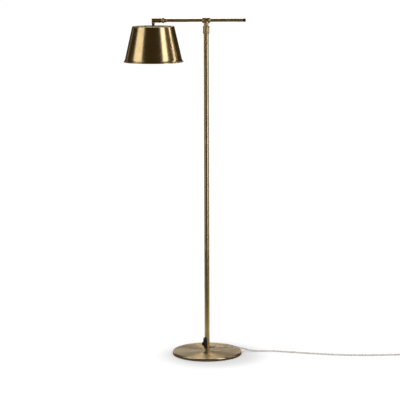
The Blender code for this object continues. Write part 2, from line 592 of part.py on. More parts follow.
def smooth_route(points, spacing):
    """Evenly spaced points of the centripetal-like cubic curve through the route's points."""
    ends = [2 * points[0] - points[1]] + points + [2 * points[-1] - points[-2]]
    fine = []
    for before, here, there, after in zip(ends, ends[1:], ends[2:], ends[3:]):
        reach = (there - here).length
        leave = (there - before) * reach / ((here - before).length + reach)
        arrive = (after - here) * reach / ((after - there).length + reach)
        for index in range(12):
            t = index / 12
            fine.append((2 * t**3 - 3 * t**2 + 1) * here + (t**3 - 2 * t**2 + t) * leave
                        + (3 * t**2 - 2 * t**3) * there + (t**3 - t**2) * arrive)
    fine.append(points[-1])
    length = sum((there - here).length for here, there in zip(fine, fine[1:]))
    count = max(2, round(length / spacing))
    even = [fine[0]]
    walked = 0.0
    for here, there in zip(fine, fine[1:]):
        step = (there - here).length
        while len(even) < count and walked + step >= len(even) * length / count:
            part = (len(even) * length / count - walked) / step
            even.append(here.lerp(there, part))
        walked += step
    return even + [fine[-1]]


def cord_tube(name, points, material):
    """Round tube along a smooth route, as a bevelled curve with filled ends."""
    curve = bpy.data.curves.new(name, "CURVE")
    curve.dimensions = "3D"
    curve.bevel_depth = CORD_RADIUS
    curve.bevel_resolution = 2
    curve.use_fill_caps = True
    spline = curve.splines.new("POLY")
    route = smooth_route(points, 6 * CORD_RADIUS)
    spline.points.add(len(route) - 1)
    for knot, point in zip(spline.points, route):
        knot.co = (*point, 1.0)
    curve.materials.append(material)
    item = bpy.data.objects.new(name, curve)
    bpy.context.scene.collection.objects.link(item)


def supply_cord(pvc, relief_pvc, tie_plastic):
    """Strain relief in the pole, the free cord, its coil and the two ties round the coil."""
    relief = turned("strain_relief", [
        (0, 0.0076), (0.0040, 0.0076), (0.0040, RELIEF_FLANGE), (0.0056, RELIEF_FLANGE),
        (0.0056, RELIEF_FLANGE + 0.0014), (0.0047, RELIEF_FLANGE + 0.0022),
        (0.0036, RELIEF_TIP - 0.0010), (0.0033, RELIEF_TIP), (0, RELIEF_TIP)], relief_pvc, SMALL)
    place(relief, (0, 0, CORD_HEIGHT), (0, math.pi / 2, CORD_BEARING))
    cord_tube("supply_cord", cord_route(), pvc)
    cord_tube("cord_tail", tail_route(), pvc)
    half_width = COIL_COLUMNS * CORD_RADIUS
    foot = TIE_THICKNESS + GAP
    top = foot + COIL_LAYERS * 2 * CORD_RADIUS
    inner = COIL_MID_RADIUS - half_width
    outer = COIL_MID_RADIUS + half_width
    bevel = CORD_RADIUS * 0.6
    coil = turned("cord_coil", [
        (inner + bevel, foot), (outer - bevel, foot), (outer, foot + bevel), (outer, top - bevel),
        (outer - bevel, top), (inner + bevel, top), (inner, top - bevel), (inner, foot + bevel)],
        pvc, 40)
    place(coil, (*COIL_CENTRE, 0))
    slack = 0.0007
    for name, bearing in (("coil_tie_front", math.radians(215)), ("coil_tie_back", math.radians(125))):
        hole = (inner - slack, outer + 0.0005, TIE_THICKNESS, top + GAP)
        tie = block(name, (hole[0] - TIE_THICKNESS, -TIE_WIDTH / 2, 0),
                    (hole[1] + TIE_THICKNESS, TIE_WIDTH / 2, hole[3] + TIE_THICKNESS), tie_plastic)
        window = block(name + "_window", (hole[0], -TIE_WIDTH, hole[2]), (hole[1], TIE_WIDTH, hole[3]))
        place(tie, (*COIL_CENTRE, 0), (0, 0, bearing))
        place(window, (*COIL_CENTRE, 0), (0, 0, bearing))
        boolean(tie, window, "DIFFERENCE")


def plug(plastic, pin_metal):
    """Flat two-pin plug lying on its side, its tapered cord end, and its pins."""
    turn = (0, 0, math.pi / 2)
    at = (TAIL_X, PLUG_ENTRY_Y, 0)
    middle = PLUG_HEIGHT / 2
    back = PLUG_TAPER_LENGTH
    front = back + PLUG_BODY_LENGTH
    body = bmesh.new()
    sections = []
    for x, half, height in ((back - 0.002, 0.0060, 0.0100), (back + 0.004, PLUG_BACK_HALF_WIDTH, PLUG_HEIGHT),
                            (front - 0.010, PLUG_FRONT_HALF_WIDTH, PLUG_HEIGHT),
                            (front, PLUG_FRONT_HALF_WIDTH, PLUG_HEIGHT)):
        round_off = height / 2 - 0.0001
        ring = []
        for side, start in ((1, -90), (-1, 90)):
            for y, z in arc((side * (half - round_off), 0), round_off, start, start + 180, 6):
                ring.append(body.verts.new((x, y, middle + z)))
        sections.append(ring)
    count = len(sections[0])
    for near, far in zip(sections, sections[1:]):
        for index in range(count):
            after = (index + 1) % count
            body.faces.new((near[index], near[after], far[after], far[index]))
    body.faces.new(sections[0])
    body.faces.new(sections[-1])
    plug_body = place(from_bmesh(body, "plug_body", plastic), at, turn)
    taper = turned("plug_taper", [(0, 0), (0.0034, 0), (0.0040, 0.0010), (0.0048, back + 0.004),
                                  (0, back + 0.004)], steps=SMALL)
    place(taper, (TAIL_X, PLUG_ENTRY_Y, middle), (0, math.pi / 2, math.pi / 2))
    boolean(plug_body, taper, "UNION")
    for name, side in (("plug_pin_left", -1), ("plug_pin_right", 1)):
        pin = rod(name, PIN_RADIUS, front + GAP, front + PIN_LENGTH, pin_metal, 16, chamfer=0.0006)
        place(pin, (TAIL_X + side * PIN_SPACING / 2, PLUG_ENTRY_Y, middle), (0, math.pi / 2, math.pi / 2))


def build_lamp():
    """Model every piece of the lamp, root pieces first, then each moving group on its pivot."""
    clear_scene()
    brass = finish("antique_brass", 0.42, 0.29, 0.13, 0.32, 1.0)
    iron = finish("cast_iron", 0.06, 0.06, 0.06, 0.7, 0.6)
    felt = finish("black_felt", 0.03, 0.03, 0.03, 0.95)
    steel = finish("zinc_steel", 0.55, 0.55, 0.53, 0.35, 1.0)
    nylon = finish("nylon", 0.72, 0.70, 0.64, 0.5)
    black = finish("black_plastic", 0.015, 0.015, 0.015, 0.35)
    cap_black = finish("dark_cap", 0.05, 0.035, 0.02, 0.35, 1.0)
    bakelite = finish("bakelite", 0.03, 0.025, 0.02, 0.3)
    circuit = finish("circuit_board", 0.05, 0.20, 0.08, 0.5)
    glass = finish("opal_glass", 0.92, 0.91, 0.88, 0.2)
    pvc = finish("clear_pvc", 0.62, 0.62, 0.60, 0.25)
    relief_pvc = finish("relief_pvc", 0.60, 0.60, 0.58, 0.3)
    tie_plastic = finish("tie_plastic", 0.10, 0.10, 0.10, 0.6)
    plug_plastic = finish("plug_plastic", 0.75, 0.75, 0.73, 0.35)
    pin_metal = finish("pin_nickel", 0.70, 0.68, 0.62, 0.2, 1.0)

    head_pivot = pivot_empty("head_pivot", (0, 0, COLLAR_TOP))
    arm_pivot = pivot_empty("arm_pivot", (0, 0, ARM_HEIGHT))
    shade_pivot = pivot_empty("shade_pivot", (BARREL_RIGHT, 0, ARM_HEIGHT))
    knob_pivot = pivot_empty("knob_pivot", (0, 0, KNOB_HEIGHT))

    base(brass, iron, felt, steel)
    pole(brass, steel, pvc)
    collar(brass)
    head(brass, steel, nylon, head_pivot)
    arm(brass, steel, nylon, cap_black, pvc, arm_pivot)
    elbow(brass, steel, pvc, shade_pivot)
    shade(brass, steel, shade_pivot)
    lampholder(bakelite, brass, steel, shade_pivot)
    bulb(glass, brass, shade_pivot)
    switch(black, circuit, steel, knob_pivot)
    supply_cord(pvc, relief_pvc, tie_plastic)
    plug(plug_plastic, pin_metal)


build_lamp()
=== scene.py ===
# %% [markdown]
# # A pharmacy floor lamp, made piece by piece
# The lamp stands on a round weighted base. A straight pole carries a swivelling head, an arm slides through
# the head, and a spun cone shade hangs from an elbow on the arm's end. Its sizes and its moving bodies come
# from a packed engineering model, so the lesson begins by loading that model, and every finely made piece
# below stands exactly where its plain engineering twin stood. The finished lamp has to stay inside it.

# %% Load the engineering model
import math

import bmesh
import bpy
import numpy as np
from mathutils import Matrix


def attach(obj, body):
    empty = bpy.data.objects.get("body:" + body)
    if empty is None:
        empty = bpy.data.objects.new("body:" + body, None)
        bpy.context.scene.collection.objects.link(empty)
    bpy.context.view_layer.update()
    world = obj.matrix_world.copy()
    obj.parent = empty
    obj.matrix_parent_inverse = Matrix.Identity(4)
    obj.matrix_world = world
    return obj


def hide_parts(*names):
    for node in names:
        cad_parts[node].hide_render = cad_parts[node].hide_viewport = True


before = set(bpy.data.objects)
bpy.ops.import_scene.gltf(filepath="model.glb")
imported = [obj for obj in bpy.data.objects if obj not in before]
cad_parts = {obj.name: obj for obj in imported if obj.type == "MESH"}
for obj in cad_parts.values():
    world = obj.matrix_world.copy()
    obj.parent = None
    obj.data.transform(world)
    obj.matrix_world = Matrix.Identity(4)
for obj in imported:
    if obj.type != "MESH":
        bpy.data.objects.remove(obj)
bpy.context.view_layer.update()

# %% [markdown]
# ## The camera
# A product camera stands six metres away with a long lens, at eye height, and looks slightly down. The far
# stand-off keeps the slim pole straight and lets only a sliver of the base's top be seen. A nearer camera
# with a wide lens would show more of the base, but it would make the head look too large. The tiny roll is
# the tripod's own.

# %% The camera
CAMERA_PLACE = (-0.027, -6.355, 1.5945)
LOOK_DOWN = math.radians(8.593)
CAMERA_ROLL = -0.0037
LENS = 143.42
SENSOR = 36.0


def placed(name, data):
    """New object with this data, linked into the scene."""
    made = bpy.data.objects.new(name, data)
    bpy.context.scene.collection.objects.link(made)
    return made


def add_camera():
    """Camera at CAMERA_PLACE that looks along +Y and down, turned by the roll about its own axis."""
    data = bpy.data.cameras.new("camera")
    data.lens = LENS
    data.sensor_width = SENSOR
    camera = placed("camera", data)
    camera.location = CAMERA_PLACE
    camera.rotation_mode = "XYZ"
    camera.rotation_euler = (math.pi / 2 - LOOK_DOWN, 0.0, 0.0)
    camera.rotation_euler.rotate_axis("Z", CAMERA_ROLL)
    bpy.context.scene.camera = camera


add_camera()
print("camera at", CAMERA_PLACE, "with a", LENS, "mm lens")

# %% [markdown]
# ## Surfaces from grids
# Every new piece is a grid of points: rows along a profile or a path, and columns around it. Blender could
# spin a profile or sweep a curve for us, but whole numpy arrays give exact control over where the rows lie,
# and so over how light rolls off an edge. A row whose points all fall together is a pole, which is welded to
# one point. Faces are turned outwards by the sign of the volume that they enclose.

# %% Lengths and the outward side
def metres_along(points):
    """Distance of each point from the first one, measured along the line that they draw."""
    return np.concatenate([[0], np.cumsum(np.linalg.norm(np.diff(points, axis=0), axis=1))])


def outward(points, quads):
    """The quads, turned if they enclose a negative volume, which is a sixth of the sum of a . (b x c)."""
    a, b, c, d = (points[quads[:, k]] for k in range(4))
    volume = np.einsum("ij,ij->", a, np.cross(b, c)) + np.einsum("ij,ij->", a, np.cross(c, d))
    return (quads, False) if volume >= 0 else (quads[:, ::-1], True)


print("one metre along a straight line:", metres_along(np.array([(0.0, 0.0), (0.6, 0.8)])))

# %% [markdown]
# A grid also carries a UV map, with the share of the way round in U and metres along the profile in V, for
# patterns that follow the surface, and a "wear" value that says how sharply the surface turns there.

# %% A mesh from a grid of points
def grid_piece(name, grid, along, wear=None, loop_rows=False, parts=None):
    """Object from points of shape (rows, columns, 3), closed round its columns.

    Cell (i, j) joins points (i, j), (i, j+1), (i+1, j+1) and (i+1, j). A cell at a pole loses its doubled
    corner and becomes a triangle. parts gives each row of cells its material's place in the list.
    """
    rows, columns = grid.shape[:2]
    points = grid.reshape(-1, 3)
    index = np.arange(rows * columns).reshape(rows, columns)
    poles = np.ptp(grid, axis=1).max(axis=1) < 1e-9
    index[poles] = index[poles][:, :1]
    i = np.arange(rows if loop_rows else rows - 1)[:, None]
    j = np.arange(columns)[None, :]
    below = (i + 1) % rows
    right = (j + 1) % columns
    quads = np.stack([index[i, j], index[i, right], index[below, right], index[below, j]], -1)
    ends = np.append(along, 2 * along[-1] - along[-2])
    u = np.stack(np.broadcast_arrays(j, j + 1, j + 1, j), -1) / columns
    v = np.stack(np.broadcast_arrays(ends[i], ends[i], ends[i + 1], ends[i + 1]), -1)
    u, v = (np.broadcast_to(x, quads.shape).reshape(-1, 4) for x in (u, v))
    part = np.broadcast_to(i * 0 if parts is None else np.asarray(parts)[i], quads.shape[:2]).ravel()
    quads, turned_over = outward(points, quads.reshape(-1, 4))
    if turned_over:
        u, v = u[:, ::-1], v[:, ::-1]
    keep = quads != np.roll(quads, -1, axis=1)
    keep &= ~((keep.sum(1) < 3)[:, None])
    used, corner = np.unique(quads[keep], return_inverse=True)
    sizes = keep.sum(1)
    whole = sizes >= 3
    mesh = bpy.data.meshes.new(name)
    mesh.vertices.add(len(used))
    mesh.vertices.foreach_set("co", points[used].ravel())
    mesh.loops.add(len(corner))
    mesh.loops.foreach_set("vertex_index", corner.ravel().astype(np.int32))
    mesh.polygons.add(int(whole.sum()))
    starts = np.concatenate([[0], np.cumsum(sizes[whole])[:-1]])
    mesh.polygons.foreach_set("loop_start", starts.astype(np.int32))
    mesh.polygons.foreach_set("material_index", part[whole].astype(np.int32))
    mesh.update(calc_edges=True)
    layer = mesh.uv_layers.new(name="surface")
    layer.uv.foreach_set("vector", np.stack([u[keep], v[keep]], -1).ravel())
    worn = np.zeros(rows) if wear is None else wear
    spread = np.broadcast_to(worn[:, None], (rows, columns)).ravel()[used]
    mesh.attributes.new("wear", "FLOAT", "POINT").data.foreach_set("value", spread.astype(np.float32))
    mesh.validate()
    mesh.shade_smooth()
    return placed(name, mesh)


print("grids become meshes with a surface map and a wear value")

# %% [markdown]
# ## The supply cord
# A lamp like this has about 1.9 m of thin round flex, clear PVC over two stranded cores, moulded to a flat
# plug. It leaves the back right of the pole's foot through a soft strain relief, lies over the base, drops
# over its edge and runs along the floor. What is left over is put away as a neat coil of five turns in two
# layers. Blender's curve bevel could make the tube, but a grid along the path gives a UV map that runs along
# the cord, so that the cores can be seen twisting inside. First the route: a few listed points, the coil by
# formula, and a smooth curve through them all.

# %% The cord's route
CORD_RADIUS = 0.00275
CORD_EXIT = (0.03136, 0.01462, 0.0245)
COIL_CENTRE = (0.848, -0.0062)
COIL_FOOT = 0.0011
PLUG_X = 0.88125
PLUG_ENTRY_Y = 0.0698
PLUG_MIDDLE = 0.00685
ROUTE_START = np.array([
    CORD_EXIT, (0.0590, 0.0268, 0.0235), (0.0870, 0.0352, 0.0206), (0.1130, 0.0345, 0.0176),
    (0.1350, 0.0296, 0.0153), (0.1530, 0.0262, 0.0116), (0.1730, 0.0250, 0.0066), (0.1950, 0.0258, 0.0036),
    (0.2310, 0.0272, 0.0030), (0.2850, 0.0200, 0.0030), (0.3450, 0.0040, 0.0030), (0.4100, -0.0150, 0.0030),
    (0.4800, -0.0330, 0.0030), (0.5500, -0.0450, 0.0030), (0.6250, -0.0500, 0.0030),
    (0.7000, -0.0490, 0.0030), (0.7600, -0.0463, 0.0031), (0.8000, -0.0452, 0.0034)])
ROUTE_END = np.array([(PLUG_X, 0.0328, 0.0085), (PLUG_X, 0.0448, 0.0056), (PLUG_X, 0.0588, 0.0052),
                      (PLUG_X, PLUG_ENTRY_Y + 0.0030, PLUG_MIDDLE)])


def coil_points(steps=16):
    """Three turns spiralling inwards on the floor, a step up, and two turns outwards on top of them."""
    pitch = 2 * CORD_RADIUS
    turns = np.arange(0, 5.25 + 1e-9, 1 / steps)
    lower = np.clip(turns, 0, 3)
    upper = np.clip(turns - 3.25, 0, 2)
    step = np.clip((turns - 3) / 0.25, 0, 1)
    radius = 0.03875 - pitch * lower + pitch * upper
    angle = -math.pi / 2 + 2 * math.pi * turns
    height = COIL_FOOT + CORD_RADIUS + pitch * step
    x, y = COIL_CENTRE
    return np.stack([x + radius * np.cos(angle), y + radius * np.sin(angle), height], -1)


def smooth_path(points, steps=8):
    """Cubic curve through the points, each tangent the neighbours' difference weighted by chord length."""
    ends = np.vstack([2 * points[0] - points[1], points, 2 * points[-1] - points[-2]])
    before, here, there, after = ends[:-3], ends[1:-2], ends[2:-1], ends[3:]
    chord = [np.linalg.norm(b - a, axis=1, keepdims=True)
             for a, b in ((before, here), (here, there), (there, after))]
    leave = (there - before) * chord[1] / (chord[0] + chord[1])
    arrive = (after - here) * chord[1] / (chord[1] + chord[2])
    t = (np.arange(steps) / steps)[None, :, None]
    path = ((2 * t**3 - 3 * t**2 + 1) * here[:, None] + (t**3 - 2 * t**2 + t) * leave[:, None]
            + (3 * t**2 - 2 * t**3) * there[:, None] + (t**3 - t**2) * arrive[:, None])
    return np.vstack([path.reshape(-1, 3), points[-1]])


cord_path = smooth_path(np.vstack([ROUTE_START, coil_points(), ROUTE_END]), steps=5)
cord_length = float(metres_along(cord_path)[-1])
print("cord:", len(cord_path), "points,", round(cord_length, 3), "m long")

# %% [markdown]
# Each ring of the tube lies across the path: its two directions are the level one square to the path, and
# the cross product of that with the path's tangent, so the tube never twists.

# %% The cord as a tube
def sweep(name, path, radius, sides=16):
    """Tube along a path: point(i, a) = path(i) + r (cos a . side(i) + sin a . up(i)), its ends capped."""
    tangent = np.gradient(path, axis=0)
    tangent /= np.linalg.norm(tangent, axis=1, keepdims=True)
    side = np.cross(tangent, (0.0, 0.0, 1.0))
    side /= np.linalg.norm(side, axis=1, keepdims=True)
    up = np.cross(side, tangent)
    angle = np.linspace(0, 2 * math.pi, sides, endpoint=False)
    around = np.cos(angle)[None, :, None] * side[:, None] + np.sin(angle)[None, :, None] * up[:, None]
    grid = path[:, None] + radius * around
    along = metres_along(path)
    centres = np.repeat(path[[0, -1], None], sides, axis=1)
    grid = np.vstack([centres[:1], grid, centres[1:]])
    along = np.concatenate([[0], along, along[-1:]])
    return grid_piece(name, grid, along)


flex = sweep("supply_flex", cord_path, CORD_RADIUS)
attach(flex, "stand")
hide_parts("supply_cord", "cord_coil", "cord_tail")
print("flex:", len(flex.data.polygons), "faces")

# %% [markdown]
# ## Turned pieces
# Nearly everything on this lamp was turned or spun on a lathe: an outline carried round an axis. An outline
# is listed as a few corners of radius, height and rounding, because that is how a drawing gives it. Real
# metal has no perfectly sharp corner, and a small rounding is what catches the light, so every corner is
# bridged by a short parabola. Points are added close beside each rounding, which keeps the long faces
# next to it shading flat. The outline also knows where it turns outwards, where hands and cloths rub the
# finish bright, and where it turns inwards, where the dark patina stays.

# %% Outlines with rounded corners
HOLD = 0.0004


def fill(start, end, longest):
    """Points strictly between two others: one held close to each, and even steps of at most longest."""
    length = np.linalg.norm(end - start)
    hold = min(HOLD, 0.2 * length)
    if length < 1e-7:
        return np.empty((0, 2))
    count = max(2, math.ceil((length - 2 * hold) / longest) + 1)
    share = np.linspace(hold, length - hold, count)[:, None] / length
    return start + share * (end - start)


def outline(corners, longest=0.006, ring=True, steps=5):
    """Fine points of an outline of (radius, height, rounding) corners.

    A rounding cuts both sides back to A and B and joins them by (1-t)^2 A + 2t(1-t) C + t^2 B. Each point
    also gets the number of the corner that it follows.
    """
    corners = np.array([(*corner, 0.0)[:3] for corner in corners])
    place = corners[:, :2]
    t = np.linspace(0, 1, steps + 1)[:, None]
    curves = []
    for k, (here, rounding) in enumerate(zip(place, corners[:, 2])):
        back, on = place[k - 1] - here, place[(k + 1) % len(place)] - here
        reach = min(rounding, 0.45 * np.linalg.norm(back), 0.45 * np.linalg.norm(on))
        if reach <= 0 or (not ring and k in (0, len(place) - 1)):
            curves.append(here[None])
            continue
        a = here + back / np.linalg.norm(back) * reach
        b = here + on / np.linalg.norm(on) * reach
        curves.append((1 - t)**2 * a + 2 * t * (1 - t) * here + t**2 * b)
    points, owner = [], []
    for k, curve in enumerate(curves):
        following = curves[(k + 1) % len(curves)]
        side = fill(curve[-1], following[0], longest) if ring or k + 1 < len(curves) else curve[:0]
        points += [curve, side]
        owner += [k] * (len(curve) + len(side))
    return np.vstack(points), np.array(owner)


def turning(points, ring, reach=0.0022):
    """Turn of the outline within about reach of each point: above 0 on outward corners, below in hollows."""
    loop = np.vstack([points[-1:], points, points[:1]])
    step = np.diff(loop, axis=0)
    heading = np.arctan2(step[:, 1], step[:, 0])
    turn = (np.diff(heading) + math.pi) % (2 * math.pi) - math.pi
    r, h = points.T
    area = np.sum(r * np.roll(h, -1) - np.roll(r, -1) * h)
    if not ring:
        turn[[0, -1]] = 0
    along = metres_along(points)
    apart = np.abs(along[:, None] - along[None, :])
    if ring:
        apart = np.minimum(apart, along[-1] + np.linalg.norm(step[-1]) - apart)
    return np.exp(-(apart / reach)**2) @ turn * np.sign(area)


sample, _ = outline([(0.01, 0), (0.02, 0, 0.001), (0.02, 0.01)], ring=False)
print("an outline of three corners, one rounded by a millimetre, becomes", len(sample), "points")

# %% [markdown]
# Turning carries the outline round any axis, with ribs or knurls where a piece has them. A finished piece
# then rides its body, stands for its plain engineering twin, and takes its finish, or several where part of
# it is painted, polished or dark.

# %% Turned pieces on their bodies
def turned(name, corners, sides=64, axis=(0, 0, 1), at=(0, 0, 0), ring=True, longest=0.006, swell=None,
           inside=None, steps=5):
    """Surface of revolution: point(s, a) = at + h(s) w + r(s) (cos a . u + sin a . v), with w along the axis.

    swell(angle, radius, height) gives the radius of ribs or knurls. inside=(first, last) gives the corners
    between which the surface wears the piece's second finish.
    """
    profile, owner = outline(corners, longest, ring, steps)
    parts = None if inside is None else ((owner >= inside[0]) & (owner < inside[1])).astype(int)
    w = np.array(axis, float)
    w /= np.linalg.norm(w)
    v = np.array((0.0, 1.0, 0.0)) if abs(w[2]) > 0.9 else np.array((0.0, 0.0, 1.0))
    u = np.cross(v, w)
    a = np.linspace(0, 2 * math.pi, sides, endpoint=False)[None, :]
    radius = profile[:, :1] + 0 * a
    if swell:
        radius = np.where(radius > 0, swell(a, radius, profile[:, 1:]), 0)
    grid = (np.array(at, float) + profile[:, 1, None, None] * w
            + radius[..., None] * (np.cos(a)[..., None] * u + np.sin(a)[..., None] * v))
    return grid_piece(name, grid, metres_along(profile), turning(profile, ring), loop_rows=ring, parts=parts)


def belongs(piece, body, slot, *nodes, finishes=None):
    """Ride on the body, stand for the engineering nodes, and wear the slot's finish or the ones given."""
    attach(piece, body)
    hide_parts(*nodes)
    for material in finishes or [FINISH[slot]]:
        piece.data.materials.append(material)
    print(piece.name, "stands for", ", ".join(nodes) + ":", len(piece.data.polygons), "faces")


def solid(name, corners, sides=48, axis=(0, 0, 1), at=(0, 0, 0), **more):
    """Turned piece whose outline runs from the axis back to the axis."""
    return turned(name, corners, sides, axis, at, ring=False, **more)


def tube(name, bore, radius, low, high, soften, *where, **more):
    """Plain tube; soften gives the rounding of its bore's edges and of its outer edges."""
    inner, outer = soften
    corners = [(bore, low, inner), (radius, low, outer), (radius, high, outer), (bore, high, inner)]
    return turned(name, corners, *where, **more)


def repaint(piece, number, chosen):
    """Give the faces that chosen(centres, normals) picks the finish of this number in the piece's list."""
    faces = piece.data.polygons
    centres, normals = np.empty((2, len(faces), 3), np.float32)
    faces.foreach_get("center", centres.ravel())
    faces.foreach_get("normal", normals.ravel())
    numbers = np.empty(len(faces), np.int32)
    faces.foreach_get("material_index", numbers)
    numbers[chosen(centres, normals)] = number
    faces.foreach_set("material_index", numbers)


print("turned, solid, tube, belongs and repaint are ready")

# %% [markdown]
# Where two turned shapes were brazed into one, or a hole was drilled or milled, the mesh is joined or cut
# by Blender's exact Boolean, and its new edges are marked sharp where they turn by more than 38 degrees.

# %% Joining and cutting
SHARP = math.radians(38)


def carve(piece, *tools, operation="DIFFERENCE"):
    """Cut the tools from the piece, or join them to it, and keep only the result."""
    for tool in tools:
        modifier = piece.modifiers.new(tool.name, "BOOLEAN")
        modifier.operation = operation
        modifier.solver = "EXACT"
        modifier.object = tool
    graph = bpy.context.evaluated_depsgraph_get()
    mesh = bpy.data.meshes.new_from_object(piece.evaluated_get(graph))
    piece.modifiers.clear()
    piece.data = mesh
    mesh.name = piece.name
    mesh.set_sharp_from_angle(angle=SHARP)
    for tool in tools:
        bpy.data.objects.remove(tool)


def bar(low, high, bearing=0.0):
    """Plain box between two corners, turned about Z: a cutting tool, never a piece."""
    corners = np.array([(x, y, z) for x in (low[0], high[0]) for y in (low[1], high[1])
                        for z in (low[2], high[2])])
    cos, sin = math.cos(bearing), math.sin(bearing)
    turn = np.array([(cos, -sin, 0), (sin, cos, 0), (0, 0, 1)])
    mesh = bpy.data.meshes.new("bar")
    faces = [(0, 1, 3, 2), (4, 6, 7, 5), (0, 4, 5, 1), (2, 3, 7, 6), (0, 2, 6, 4), (1, 5, 7, 3)]
    mesh.from_pydata((corners @ turn.T).tolist(), [], faces)
    return placed("bar", mesh)


def drill(radius, start, end, axis=(0, 0, 1), at=(0, 0, 0), sides=48):
    """Round cutting tool along an axis."""
    return solid("drill", [(0, start), (radius, start), (radius, end), (0, end)], sides, axis, at)


print("carve cuts with bars and drills")

# %% [markdown]
# ## Finishes
# The lamp's metal is brass that was darkened in a bath, brushed back on the lathe and lacquered. Under a
# lens it shows fine rings from the brushing, cloudy differences in how dark the bath left it, bright metal
# where edges are rubbed, and dark metal in the hollows. An image of brass stretched over the surface
# could show that, but patterns made from noise have no seam and any sharpness. Each effect that several
# finishes share is a node group with named inputs and outputs, so it is built once and tuned in each.

# %% Helpers for node trees
def node(tree, kind, inputs=None, **settings):
    """New node: settings are its own properties; inputs are values, or sockets to link."""
    made = tree.nodes.new(kind)
    for key, value in settings.items():
        setattr(made, key, value)
    for key, value in (inputs or {}).items():
        socket = made.inputs[key]
        if isinstance(value, bpy.types.NodeSocket):
            tree.links.new(value, socket)
        else:
            socket.default_value = (*value, 1.0) if socket.type == "RGBA" else value
    return made


def reckon(tree, kind, first, second=0.0, clamp=False):
    """Output of a Math node of this kind."""
    return node(tree, "ShaderNodeMath", {0: first, 1: second}, operation=kind, use_clamp=clamp).outputs[0]


def times(tree, first, second):
    """Product of two values."""
    return reckon(tree, "MULTIPLY", first, second)


def added(tree, start, *terms, clamp=True):
    """Start plus weight times value for each (value, weight), the last sum held between 0 and 1 if clamp."""
    for place, (value, weight) in enumerate(terms, 1):
        start = reckon(tree, "ADD", start, times(tree, value, weight), clamp and place == len(terms))
    return start


def ramp(tree, value, low, high):
    """Smooth step of a value from low..high to 0..1."""
    limits = {"Value": value, "From Min": low, "From Max": high}
    return node(tree, "ShaderNodeMapRange", limits, interpolation_type="SMOOTHSTEP").outputs["Result"]


print("values can be added, multiplied and ramped")

# %% [markdown]
# Colours are blended in layers, as a painter glazes: each layer has a mask, a strength and a colour of its
# own. Noise gives the masks, and a group keeps an effect with its named sockets.

# %% Helpers for colours, noise and groups
def blend_colour(tree, share, first, second):
    """Colour between two others by a share from 0 to 1."""
    return node(tree, "ShaderNodeMix", {0: share, 6: first, 7: second}, data_type="RGBA").outputs[2]


def layered(tree, colour, *layers):
    """The colour, covered by each (mask, strength, colour) in turn."""
    for mask, strength, cover in layers:
        colour = blend_colour(tree, times(tree, mask, strength), colour, cover)
    return colour


def noise(tree, vector, scale, detail=2.0, rough=0.5):
    """Noise value on a vector."""
    return node(tree, "ShaderNodeTexNoise", {"Vector": vector, "Scale": scale, "Detail": detail,
                                             "Roughness": rough}).outputs[0]


def group(name, inputs, outputs):
    """Empty node group with named sockets: (tree, its inputs' sockets, its output node)."""
    tree = bpy.data.node_groups.new(name, "ShaderNodeTree")
    for title, kind, value in inputs:
        socket = tree.interface.new_socket(title, in_out="INPUT", socket_type="NodeSocket" + kind)
        if value is not None:
            socket.default_value = value
    for title in outputs:
        tree.interface.new_socket(title, in_out="OUTPUT", socket_type="NodeSocketFloat")
    entry = tree.nodes.new("NodeGroupInput")
    return tree, entry.outputs, tree.nodes.new("NodeGroupOutput")


print("colours can be layered, and effects grouped")

# %% [markdown]
# ### Rings of the brushing
# A lathe turns the piece while an abrasive pad creeps along it, which leaves rings of slightly different
# depth. Stretched noise gives them: it changes quickly along the profile and slowly round it. The way round
# is turned into a point on a small circle first, so the pattern closes on itself without a seam.

# %% The brushed-rings group
def brushed_rings():
    """Group: noise at (W cos 2 pi u, W sin 2 pi u, F v), with u the share round and v the metres along."""
    tree, given, result = group("brushed_rings", [("Surface", "Vector", None), ("Fineness", "Float", 2600.0),
                                                  ("Waver", "Float", 1.2)], ["Height", "Bands"])
    parts = node(tree, "ShaderNodeSeparateXYZ", {0: given["Surface"]})
    turn = times(tree, parts.outputs["X"], 2 * math.pi)
    cos = times(tree, reckon(tree, "COSINE", turn), given["Waver"])
    sin = times(tree, reckon(tree, "SINE", turn), given["Waver"])
    for title, share, detail in (("Height", 1.0, 4.0), ("Bands", 0.11, 2.0)):
        along = times(tree, times(tree, parts.outputs["Y"], given["Fineness"]), share)
        place = node(tree, "ShaderNodeCombineXYZ", {"X": cos, "Y": sin, "Z": along}).outputs[0]
        tree.links.new(noise(tree, place, 1.0, detail, 0.62), result.inputs[title])
    return tree

# %% [markdown]
# ### Patina and rubbed edges
# The dark bath never takes evenly, and handling undoes it again. Two clouds of noise, one as wide as a hand
# and one as fine as a fingertip, say how dark the metal stayed. The outline's own turning, broken up by the
# finer cloud, says where an edge is rubbed bright and where a hollow keeps its dirt. Cycles could find edges
# with its Pointiness or Bevel node, but those depend on the mesh or cost many rays.

# %% The patina and the smudges groups
def patina():
    """Group: Tarnish is a cloud of 0..1; Rubbed rises on outward turns, Hollow on inward ones."""
    tree, given, result = group("patina", [("Place", "Vector", None), ("Turning", "Float", 0.0),
                                           ("Size", "Float", 14.0)], ["Tarnish", "Rubbed", "Hollow"])
    wide = noise(tree, given["Place"], given["Size"], 3.0, 0.55)
    fine = noise(tree, given["Place"], times(tree, given["Size"], 9.0), 4.0, 0.6)
    cloud = added(tree, times(tree, wide, 0.7), (fine, 0.3), clamp=False)
    tree.links.new(ramp(tree, cloud, 0.36, 0.66), result.inputs["Tarnish"])
    broken = added(tree, given["Turning"], (fine, 0.9), clamp=False)
    tree.links.new(ramp(tree, broken, 0.75, 1.75), result.inputs["Rubbed"])
    tree.links.new(ramp(tree, given["Turning"], -0.15, -1.1), result.inputs["Hollow"])
    return tree


